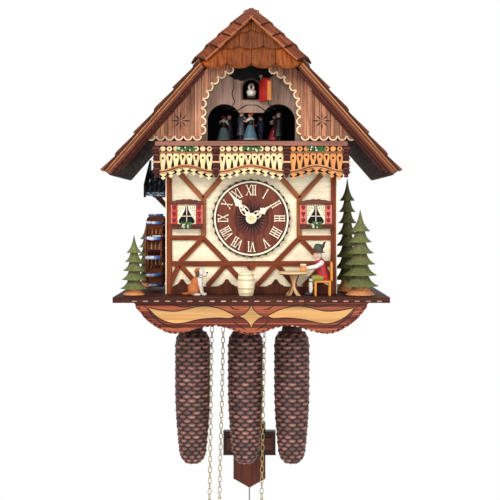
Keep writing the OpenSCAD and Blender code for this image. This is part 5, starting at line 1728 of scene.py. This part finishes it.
for x0, x1, r in ((-142, -119, 7), (-99, -95, 9), (-148.6, -147, 3.4)):
    wheel.add(moved(lathe([(r - 0.5, x0), (r, x0 + 0.5), (r, x1 - 0.5), (r - 0.5, x1)], (0, 0, 0), 28,
                          spin("Y", 90)), WHEEL_AT),
              WHEEL_DARK)
wheel.make("mill_wheel", WOOD, ("water_wheel",), "brown_wood", bevel=0.25)
foam.make("mill_wheel", PAINT, slot="painted_figure")

trough = Piece("mill_trough_boards")
for x0 in (-146, -113.7):
    for j in range(2):
        a0, a1 = j / 2, (j + 1) / 2
        low = [(-140, 127 + 18 * a0), (-60, 162 + 20 * a0)]
        high = [(-60, 162 + 20 * a1 - 0.3), (-140, 127 + 18 * a1 - 0.3)]
        trough.add(side_plate(low + high, x0, x0 + 3), srgb(46, 30, 24), along=(0, 0.92, 0.4), vary=0.2)
for x0, x1 in ((-143, -133.4), (-133.2, -123.6), (-123.4, -113.7)):
    trough.add(side_plate([(-140, 129), (-60, 164), (-60, 167), (-140, 132)], x0, x1), srgb(42, 28, 24),
               along=(0, 0.92, 0.4), vary=0.2)
trough.add(side_plate([(-112, 118), (-106, 118), (-76, 155.5), (-84, 151.5)], -116, -110.9),
           srgb(120, 72, 46), along=(0, 0.6, 0.8))
trough.add(plate([(-133.5, 127.5), (-126, 130), (-110.9, 112.5), (-110.9, 104.5)], -116, -108),
           srgb(116, 64, 42), along=(-0.7, 0, 0.7))
trough.add(block(-136, -111, -116, -106, 127.5, 132), srgb(92, 50, 34))
trough.make("case", WOOD, ("water_trough",), "dark_wood", bevel=0.4)
stream = Piece("mill_stream")
rings, cols = [], []
for i in range(41):
    t = i / 40
    row = []
    for j in range(15):
        x = -142.6 + 28.6 * j / 14
        z = 132.8 + 35 * t + 0.7 * sin(j * 1.9 + 5.1 * t) * (1 - 0.4 * t) + 0.35 * sin(j * 3.7 + 14 * t)
        row.append(Vector((x, -139.6 + 79 * t, z)))
        m = 0.5 + 0.5 * sin(j * 2.3 + 7 * t + 2 * sin(9 * t))
        m = m ** 3 * (1 - 0.4 * t) + max(0.0, 0.5 - 7 * t)
        cols.append(mixed(DEEP_WATER, GLINT, min(m, 1)))
    cols += [DEEP_WATER] * 2
    rings.append(row + [row[-1] - Vector((0, 0, 2.4)), row[0] - Vector((0, 0, 2.4))])
stream.add(skin(rings), cols, vary=0)
rnd = random.Random(8)
for k in range(46):
    x = -141.5 + 26.5 * rnd.random()
    stream.add(ball((x, -141.2 + rnd.uniform(-0.8, 2.6), 130.2 + rnd.uniform(-1.2, 3.2)), (2.0, 1.5, 0.9),
                    8),
               PALE_BLUE if rnd.random() < 0.55 else WATER, vary=0.15)
stream.make("case", paint("mill_water", rough=(0.1, 0.22), mottle=0.15, coat=0.4), slot="painted_figure")

# ---------------------------------------------------------------- carved figures

SKIN, HAIR, GINGER, COAT = srgb(236, 178, 148), srgb(112, 66, 42), srgb(206, 96, 44), srgb(52, 52, 62)


STOUT = 1.2


class Figure:
    """A little carved person standing at `foot`, facing local +y."""

    def __init__(self, piece, foot, turn, height):
        self.piece, self.foot, self.turn, self.h = piece, foot, spin("Z", turn), height / 100

    def put(self, shape, colour, vary=0.04):
        points = [Vector((p[0] * STOUT, p[1] * STOUT, p[2])) * self.h for p in shape[0]]
        self.piece.add(moved((points, shape[1]), self.foot, self.turn), colour, vary=vary)

    def head(self, z, hair, hat=None, bun=False):
        self.put(ball((0, 1, z), (5.6, 6.2, 7.2), 14), SKIN)
        self.put(ball((0, 7.2, z - 0.5), (1.1, 1.4, 1.4), 8), SKIN)
        self.put(ball((0, -1.4, z + 2.2), (6.5, 6.4, 6.9), 14), hair)
        for s in (-1, 1):
            self.put(ball((s * 2.2, 6.2, z + 0.9), (0.8, 0.6, 0.8), 6), INK)
            self.put(ball((s * 5.6, 0.6, z - 0.4), (1.0, 1.6, 2.0), 6), SKIN)
        self.put(ball((0, 6.4, z - 3.2), (1.8, 0.7, 0.6), 6), srgb(170, 70, 60))
        if bun:
            self.put(ball((0, -7, z + 3.6), (3.6, 3.2, 3.4), 10), hair)
        if hat:
            felt = [(11.5, 0.2), (12, 0.9), (11.2, 1.7), (6.9, 2.2), (6.6, 4.5), (6.1, 8.5), (4.6, 9.6),
                    (0.5, 9.9)]
            self.put(lathe(felt, (0, -0.4, z + 4.0), 20), hat)
            self.put(lathe([(7.0, 0), (7.1, 1.6)], (0, -0.4, z + 6.2), 20), toned(hat, 0.5))

    def arms(self, shoulder, reach, sleeve, lift=0.0):
        for s in (-1, 1):
            a = Vector((s * 9.5, 0, shoulder))
            b = Vector((s * 12.5, 5, shoulder - 14 + lift))
            c = Vector((s * 7, 5 + reach, shoulder - 13 + lift * 1.6))
            self.put(tube([a, b, c], [3.1, 2.9, 2.3], 10), sleeve)
            self.put(ball(c + Vector((0, 1.6, 0)), 2.5, 8), SKIN)

    def man(self, coat, trousers, hat, hair, long_coat=True):
        for s in (-1, 1):
            self.put(tube([(s * 4.4, 0, 3), (s * 4.2, 0, 45)], [3.6, 4.6], 10), trousers)
            self.put(ball((s * 4.4, 2.4, 2.2), (3.4, 5.8, 2.4), 8), INK)
        low = 16 if long_coat else 38
        body = [(13.2 if long_coat else 10, low), (13, low + 2), (10.6, 36), (9.2, 48), (10.6, 62),
                (10.9, 72),
                (8.2, 78), (3.6, 80.5)]
        self.put(lathe(body, n=22), coat)
        self.put(lathe([(4.9, 77.8), (5.5, 79.5), (4.9, 82)], n=16), WHITE)
        self.put(block(-2.3, 2.3, 9.6, 11.4, 60, 77), WHITE)
        self.arms(74, 13, coat, 4)
        self.head(87, hair, hat)

    def woman(self, skirt, apron, blouse, bodice, hair):
        rings, n, pleats = [], 48, 12
        for r, z in ((19, 1.5), (19.4, 3), (17.6, 12), (14.2, 26), (10.8, 40), (7.4, 49)):
            waved = [r + 0.9 * (r / 19) * sin(pleats * 2 * pi * k / n) for k in range(n)]
            rings.append([Vector((q * cos(2 * pi * k / n), q * sin(2 * pi * k / n), z)) for k,
                          q in enumerate(waved)])
        self.put(skin(rings), skirt)
        self.put(lathe([(17.6, 0.1), (19.6, 0.6), (20.1, 2.6), (18, 3.4)], n=40), WHITE)
        self.put(merged(*[ball((x, 17.2 - z * 0.26, z), (2.5, 1.5, 5.2), 8) for x in (-6, -2, 2, 6)
                          for z in (9, 17, 25, 33)]), apron)
        self.put(lathe([(7.0, 47), (7.6, 52), (9.6, 62), (9.8, 68), (7.6, 74), (3.4, 77.5)], n=20), bodice)
        self.put(lathe([(9.4, 66.5), (9.9, 69), (7.9, 74.3), (3.8, 78)], n=20), blouse)
        for s in (-1, 1):
            self.put(ball((s * 10.6, 0, 68), (4.2, 4.2, 5.2), 10), blouse)
        self.arms(70, 12, SKIN, 5)
        self.head(84, hair, None, True)


RED_SKIRT, TEAL = srgb(206, 52, 66), srgb(76, 106, 122)
dancers = Piece("dancing_couples")
# Angle on the turntable, the man's and the woman's places, their clothes and hair
COUPLES = (
    (-102, (0, -7), (0, 7), (COAT, srgb(60, 30, 36), srgb(30, 26, 26), HAIR, True),
     (TEAL, srgb(54, 78, 98), WHITE, INK, GINGER)),
    (-12, (6, -5), (-6, 5), (srgb(42, 36, 36), INK, srgb(56, 34, 28), srgb(214, 176, 150), True),
     (RED_SKIRT, WHITE, WHITE, INK, HAIR)),
    (78, (0, -7), (0, 7), (srgb(50, 56, 84), srgb(44, 52, 88), srgb(34, 26, 24), HAIR, False),
     (srgb(60, 92, 70), WHITE, WHITE, RED_SKIRT, HAIR)),
    (168, (0, -7), (0, 7), (srgb(46, 40, 44), INK, srgb(40, 30, 28), GINGER, True),
     (srgb(128, 152, 150), RED_SKIRT, WHITE, INK, srgb(124, 52, 34))),
)
for angle, man_at, woman_at, man_look, woman_look in COUPLES:
    a = math.radians(angle)
    centre = Vector((35 * cos(a), -128 + 35 * sin(a), 203.05))
    frame_turn = spin("Z", angle - 20)
    m, wo = Vector((*man_at, 0)), Vector((*woman_at, 0))
    facing = math.degrees(math.atan2(-(wo - m).x, (wo - m).y))
    Figure(dancers, centre + frame_turn @ m, angle - 20 + facing, 40.5).man(*man_look)
    Figure(dancers, centre + frame_turn @ wo, angle + 160 + facing, 39.5).woman(*woman_look)
dancers.make("carousel", PAINT, ("dancers",), "painted_figure", angle=50)

# The bird on its perch, and its door
bird = Piece("cuckoo_carved")
FEATHER, FEATHER_DARK = srgb(222, 218, 208), srgb(150, 146, 140)
bird.add(ball((0, -186, 263.6), (5.9, 6.4, 6.1), 22), FEATHER, vary=0.04)
bird.add(ball((0, -191, 270.3), (4.4, 4.4, 4.6), 20), FEATHER, vary=0.03)
for s in (-1, 1):
    for k in range(5):
        bird.add(ball((s * (5.0 - 0.25 * k), -183.5 + k * 2.2, 265 - k * 1.0), (1.3, 4.2 - 0.3 * k, 1.5),
                      10, spin("X", 26)),
                 FEATHER_DARK if k % 2 else FEATHER, vary=0.05)
    bird.add(ball((s * 2.9, -194.0, 271.6), 0.75, 8), INK, vary=0)
for jaw, tilt in ((1, 30), (-1, -38)):
    cone = lathe([(1.9, 0), (1.5, 2), (0.8, 4), (0.25, 5.4)], n=12)
    bird.add(moved(cone, (0, -194.6, 270.2 + jaw * 0.4), spin("X", 90 - tilt)), srgb(120, 34, 26), vary=0)
bird.add(ball((0, -194.7, 270.0), (1.9, 1.0, 3.0), 12), srgb(96, 30, 16), vary=0)
bird.add(ball((0, -195.5, 270.0), (0.9, 0.5, 1.8), 10), srgb(20, 8, 8), vary=0)
for k in range(-2, 3):
    bird.add(moved(ball((0, 8, 0), (1.7, 8.2, 0.6), 10, spin("Z", -k * 7)), (k * 0.7, -182, 265),
                   spin("X", 20)), FEATHER_DARK if k % 2 else FEATHER)
bird.make("cuckoo_bird", PAINT, ("cuckoo",), "painted_figure", angle=60)
perch = Piece("cuckoo_perch")
perch.add(block(-5, 5, -193, -163, 256, 258.4), srgb(60, 36, 26), along=DEEP)
for s in (-1, 1):
    perch.add(tube([(s * 2.4, -187, 258), (s * 2.2, -187, 261)], 0.5, 6), srgb(150, 90, 50))
perch.make("cuckoo_bird", WOOD, slot="dark_wood", bevel=0.3)

HINGE = Vector((12.6, -189.8, 0))
open_turn = spin("Z", 115)
leaf_pts = [(1, 251), (1, 274.5)]
for k in range(13):
    x = 1 - 25.4 * k / 12
    leaf_pts.append((x, min(282, 259 + math.sqrt(max(0, 22 ** 2 - (x + 11.7) ** 2)))))
leaf_pts += [(-24.4, 274.5), (-24.4, 251)]
door = Piece("cuckoo_door_leaf")
door.add(moved(fret([leaf_pts], -2.5, 2.5, 0.4), HINGE, open_turn), srgb(190, 40, 34), along=UP, vary=0.02)
door.make("door", WALL_PAINT, ("cuckoo_door",), "red_paint")
facing_board = Piece("cuckoo_door_facing")
facing_board.add(moved(fret([leaf_pts], -3.2, -2.5, 0.2), HINGE, open_turn), srgb(198, 122, 66), along=UP,
                 vary=0.05)
edge_strip = block(-24.7, -24.2, -2.6, 2.6, 251.2, 275)
facing_board.add(moved(edge_strip, HINGE, open_turn), srgb(204, 128, 66), along=UP, vary=0.05)
facing_board.make("door", CREAM_WOOD, slot="cream_wood")

# ---------------------------------------------------------------- dog and barrel

dog = Piece("carved_dog")
DOG_AT = Vector((-68, -210, 0))
TAN, TAN_DARK, FUR = srgb(196, 112, 58), srgb(92, 56, 34), srgb(226, 216, 204)


def fur(centre, radii, colour, turn=None, n=16):
    dog.add(moved(ball((0, 0, 0), radii, n, turn), DOG_AT + Vector(centre)), colour, vary=0.1)


fur((-6, 0, 8.6), (8.0, 8.0, 8.6), TAN)
fur((-3.4, 0, 15.5), (6.6, 6.4, 9.4), TAN, spin("Y", 16))
fur((1.2, 0, 17.4), (5.2, 5.6, 8.2), FUR, spin("Y", -6))
fur((1.0, 0, 22.5), (5.0, 4.8, 5.4), FUR)
for s in (-1, 1):
    dog.add(moved(tube([(2.2, s * 3.2, 17), (3.6, s * 3.5, 9), (5.0, s * 3.6, 2.4)], [3.3, 2.5, 2.0], 12),
                  DOG_AT), FUR, vary=0.04)
    fur((7.4, s * 3.8, 1.7), (3.4, 2.2, 1.7), FUR)
    fur((-6.0, s * 6.2, 6.2), (7.0, 3.2, 6.0), TAN)
    fur((-1.6, s * 7.0, 1.7), (5.4, 2.3, 1.7), FUR)
    fur((-0.9, s * 5.4, 28.0), (2.5, 1.5, 4.6), TAN_DARK, spin("Y", 14))
    fur((5.4, s * 3.0, 31.0), (0.9, 0.9, 1.0), INK, None, 8)
fur((2.2, 0, 29.6), (6.0, 5.5, 5.6), FUR)
fur((-0.4, 0, 31.0), (5.0, 5.4, 4.6), TAN)
fur((4.0, 0, 32.0), (3.4, 1.8, 3.4), FUR)
fur((7.6, 0, 27.4), (4.2, 3.3, 3.0), FUR)
fur((8.0, 0, 25.4), (3.2, 2.6, 1.5), srgb(206, 190, 176))
fur((11.3, 0, 29.2), (1.5, 1.6, 1.2), INK, None, 10)
fur((1.0, 0, 24.0), (5.4, 5.2, 1.0), srgb(150, 46, 34), spin("Y", 20))
dog.add(moved(tube([(-11, 3, 3), (-15, 4, 1.9), (-19, 3.4, 2.0), (-21.4, 2, 2.4)], [2.4, 2.1, 1.6, 0.7],
                   10), DOG_AT), TAN, vary=0.1)
dog.make("case", PAINT, ("dog",), "painted_figure", angle=70)

CASK_AT = (-6.7, -210, 0)
cask = Piece("wooden_barrel")
for k in range(14):
    a0, a1 = 2 * pi * k / 14 + 0.012, 2 * pi * (k + 1) / 14 - 0.012
    rings = []
    for i in range(13):
        t = i / 12
        r = 8.7 + 2.3 * sin(pi * t) ** 0.9
        z = 0.1 + 29.6 * t
        rings.append([Vector((CASK_AT[0] + q * cos(a), CASK_AT[1] + q * sin(a), z)) for q, a in
                      ((r, a0), (r + 0.08, (a0 + a1) / 2), (r, a1), (r - 1.6, a1), (r - 1.6, a0))])
    cask.add(skin(rings), srgb(252, 240, 208), along=UP, vary=0.05)
for z, r in ((28.2, 8.0), (1.2, 8.0)):
    cask.add(lathe([(0.4, z - 0.4), (r, z - 0.4), (r, z + 0.4), (0.4, z + 0.4)], CASK_AT, 24),
             srgb(214, 186, 136))
for z, r in ((3.2, 9.6), (9.4, 10.8), (20.4, 10.8), (26.6, 9.6)):
    cask.add(lathe([(r - 0.4, z - 0.9), (r + 0.32, z - 0.8), (r + 0.32, z + 0.8), (r - 0.4, z + 0.9)],
                   CASK_AT, 40),
             srgb(214, 190, 142), along=UP, vary=0.02)
cask.make("case", CREAM_WOOD, ("barrel",), "cream_wood")

# ---------------------------------------------------------------- table, chair and drinker

TABLE_AT = Vector((54.3, -210, 0))
LEG = [(1.0, 27.2), (9.5, 27.2), (7.2, 23.5), (4.6, 19), (3.4, 14.5), (4.2, 10), (7.6, 5), (11.8, 1.2),
       (12, 0.05), (6.0, 0.05), (3.2, 3.4), (1.0, 8)]
LEG_EDGE = [(x + (0.7 if 1.5 < x < 11.5 else 0), z) for x, z in LEG]
CHAIR, TABLE = srgb(226, 152, 62), srgb(236, 208, 160)
table = Piece("table_and_chair")
table.add(lathe([(19.2, 28), (20, 28.5), (20, 30.2), (19.2, 30.7)], TABLE_AT, 48), TABLE, vary=0.02)
table.add(lathe([(17.6, 27.0), (18.2, 27.5), (18.2, 28.1)], TABLE_AT, 40), srgb(130, 74, 46), vary=0.02)
for k in range(4):
    a = spin("Z", 45 + 90 * k)
    table.add(moved(fret([LEG], -1.7, 1.7, 0.4), TABLE_AT, a), TABLE if k % 2 else srgb(206, 160, 108),
              along=UP)
    table.add(moved(fret([LEG_EDGE], -1.1, 1.1, 0.2), TABLE_AT, a), srgb(110, 60, 40), along=UP)
table.add(block(81, 102, -218, -202, 17, 19.5), CHAIR)
LEG_TAPER = ((0.05, 0.5), (8, 0.1), (17.2, 0))
for x in (81, 99.3):
    for y in (-218, -204.5):
        corners = [(z, ((0, 0), (2.5, 0), (2.5 - e, 2.5 - e), (e, 2.5 - e))) for z, e in LEG_TAPER]
        table.add(skin([[Vector((x + dx, y + dy, z)) for dx, dy in square] for z, square in corners]),
                  CHAIR, along=UP)
back = [(-218, 19.5), (-218, 38), (-217, 42.5), (-214, 41.2), (-210, 43.6), (-206, 41.2), (-203, 42.5),
        (-202, 38), (-202, 19.5)]
heart = [(-210, 27.5), (-207.2, 31.5), (-207.4, 34), (-209, 34.6), (-210, 33.2), (-211, 34.6), (-212.6, 34),
         (-212.8, 31.5)]
table.add(moved(fret([[(q + 210, z) for q, z in back], [(q + 210, z) for q, z in heart[::-1]]], -1.25, 1.25,
                     0.3), (102.7, -210, 0), spin("Z", 90)),
          CHAIR, along=UP)
table.make("case", wood("furniture_wood", grain=(20, 300, 300), dark=(0.62, 0.45, 0.3), streak=0.5,
                        pores=0.3), ("furniture",), "cream_wood", bevel=0.25)

man = Piece("seated_drinker")
VEST, SHIRT, HAT = srgb(190, 38, 50), srgb(240, 232, 230), srgb(68, 82, 72)
STOCKING, BREECHES = srgb(236, 230, 216), srgb(146, 146, 62)
Y = -210


def part(shape, colour, vary=0.04):
    man.add(shape, colour, vary=vary)


trunk = lathe([(6.0, -2), (7.0, 1), (7.0, 6), (6.3, 13), (6.6, 20), (5.6, 25), (2.6, 27.4)], n=22)
part(moved(trunk, (93.2, Y, 20.6), spin("Y", -13)), VEST)
part(ball((92.8, Y, 21.6), (7.0, 6.8, 4.6), 18), BREECHES)
part(lathe([(3.4, 44.6), (3.6, 46), (2.6, 49)], (86.6, Y, 0), 14), SHIRT)
part(ball((84.6, Y, 51.6), (4.9, 4.7, 5.5), 18), SKIN)
part(ball((79.9, Y, 51.2), (1.2, 0.9, 1.1), 8), srgb(222, 140, 116))
for s in (-1, 1):
    part(ball((80.8, Y + s * 1.9, 53.0), (0.6, 0.6, 0.6), 6), INK)
    part(ball((80.6, Y + s * 1.5, 49.6), (0.9, 1.7, 0.7), 8), srgb(206, 196, 186))
    part(ball((85.4, Y + s * 4.8, 51.4), (1.3, 0.8, 1.6), 8), SKIN)
part(ball((86.6, Y, 52.0), (4.6, 5.0, 5.4), 16), srgb(206, 196, 186))
felt = [(8.2, 0), (8.8, 0.5), (8.4, 1.3), (6.2, 1.9), (6.4, 3.2), (5.7, 7.5), (4.6, 10.2), (2.0, 11),
        (0.4, 10.6)]
for profile, colour in ((felt, HAT), ([(6.35, 1.9), (6.55, 2.4), (6.35, 3.9)], srgb(120, 60, 36))):
    part(moved(lathe(profile, n=26), (85.6, Y, 55.6), spin("Y", 7)), colour)
feather = [(89.5, Y - 4.6, 59), (92, Y - 4.2, 63), (93.2, Y - 3.6, 67), (95.6, Y - 3, 69.5)]
part(tube(feather, [1.0, 1.9, 1.6, 0.5], 8, flat=0.45), srgb(34, 40, 44))
part(tube([(90.6, Y + 5.6, 43), (84, Y + 8.6, 36.5), (75, Y + 5.6, 34), (70.6, Y + 3.4, 33.6)],
          [3.2, 2.9, 2.4, 1.8], 12), SHIRT)
part(ball((69.4, Y + 2.6, 33.4), (2.2, 2.0, 1.6), 10), SKIN)
part(ball((89.8, Y - 4.9, 42.4), (3.2, 2.6, 3.4), 12), SHIRT)
for s in (-1, 1):
    part(tube([(92, Y + s * 3.6, 22.4), (84, Y + s * 3.9, 23.2), (77.6, Y + s * 3.8, 22.0)],
              [4.2, 3.9, 3.4], 14), BREECHES)
    calf = [(77.2, Y + s * 3.8, 21.5), (76.2, Y + s * 3.7, 16.5), (76.8, Y + s * 3.6, 10),
            (76.2, Y + s * 3.6, 4)]
    part(tube(calf, [3.2, 2.3, 2.7, 1.8], 12), STOCKING)
    part(tube([(76.6, Y + s * 3.8, 18.8), (76.4, Y + s * 3.8, 17.6)], [3.0, 2.9], 12), srgb(60, 84, 52))
    part(ball((73.6, Y + s * 3.8, 2.3), (4.8, 2.4, 2.3), 14), srgb(58, 56, 60))
    part(tube([(86, Y + s * 5.9, 42), (89, Y + s * 6.3, 34), (92.5, Y + s * 6.4, 24)], 0.7, 6, flat=0.6),
         srgb(40, 70, 44))
man.make("case", PAINT, ("drinker",), "painted_figure", angle=60)

MUG_AT, MUG_COL = Vector((66.6, -214, 0)), srgb(224, 156, 92)
arm = Piece("drinker_arm_and_mug")
arm.add(tube([(90, -217.4, 42), (83, -218.2, 37.6), (76, -216.8, 36.4), (71.6, -215.4, 36)],
             [2.9, 2.9, 2.5, 1.9], 14), SHIRT, vary=0.03)
arm.add(ball((90, -216.9, 42), (2.9, 2.4, 3.0), 14), SHIRT, vary=0.03)
arm.add(ball((70.6, -214.8, 35.8), (2.3, 2.2, 2.4), 12), SKIN, vary=0.03)
arm.add(lathe([(4.2, 31.1), (4.5, 31.6), (4.1, 33), (4.3, 37.4), (4.55, 38.2), (4.55, 39.2), (4.0, 39.4)],
              MUG_AT, 24), MUG_COL, vary=0.05)
arm.add(tube([(70.4, -214, 37.6), (72.6, -214, 37.0), (73, -214, 34.6), (70.6, -214, 33.2)], 0.7, 8),
        MUG_COL)
for k in range(9):
    a = 2 * pi * k / 8
    q = 2.5 if k < 8 else 0
    arm.add(ball(MUG_AT + Vector((q * cos(a), q * sin(a), 39.6)), (1.7, 1.7, 1.3), 10), WHITE, vary=0.02)
arm.make("beer_arm", PAINT, ("drinker_arm",), "painted_figure", angle=60)

low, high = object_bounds()
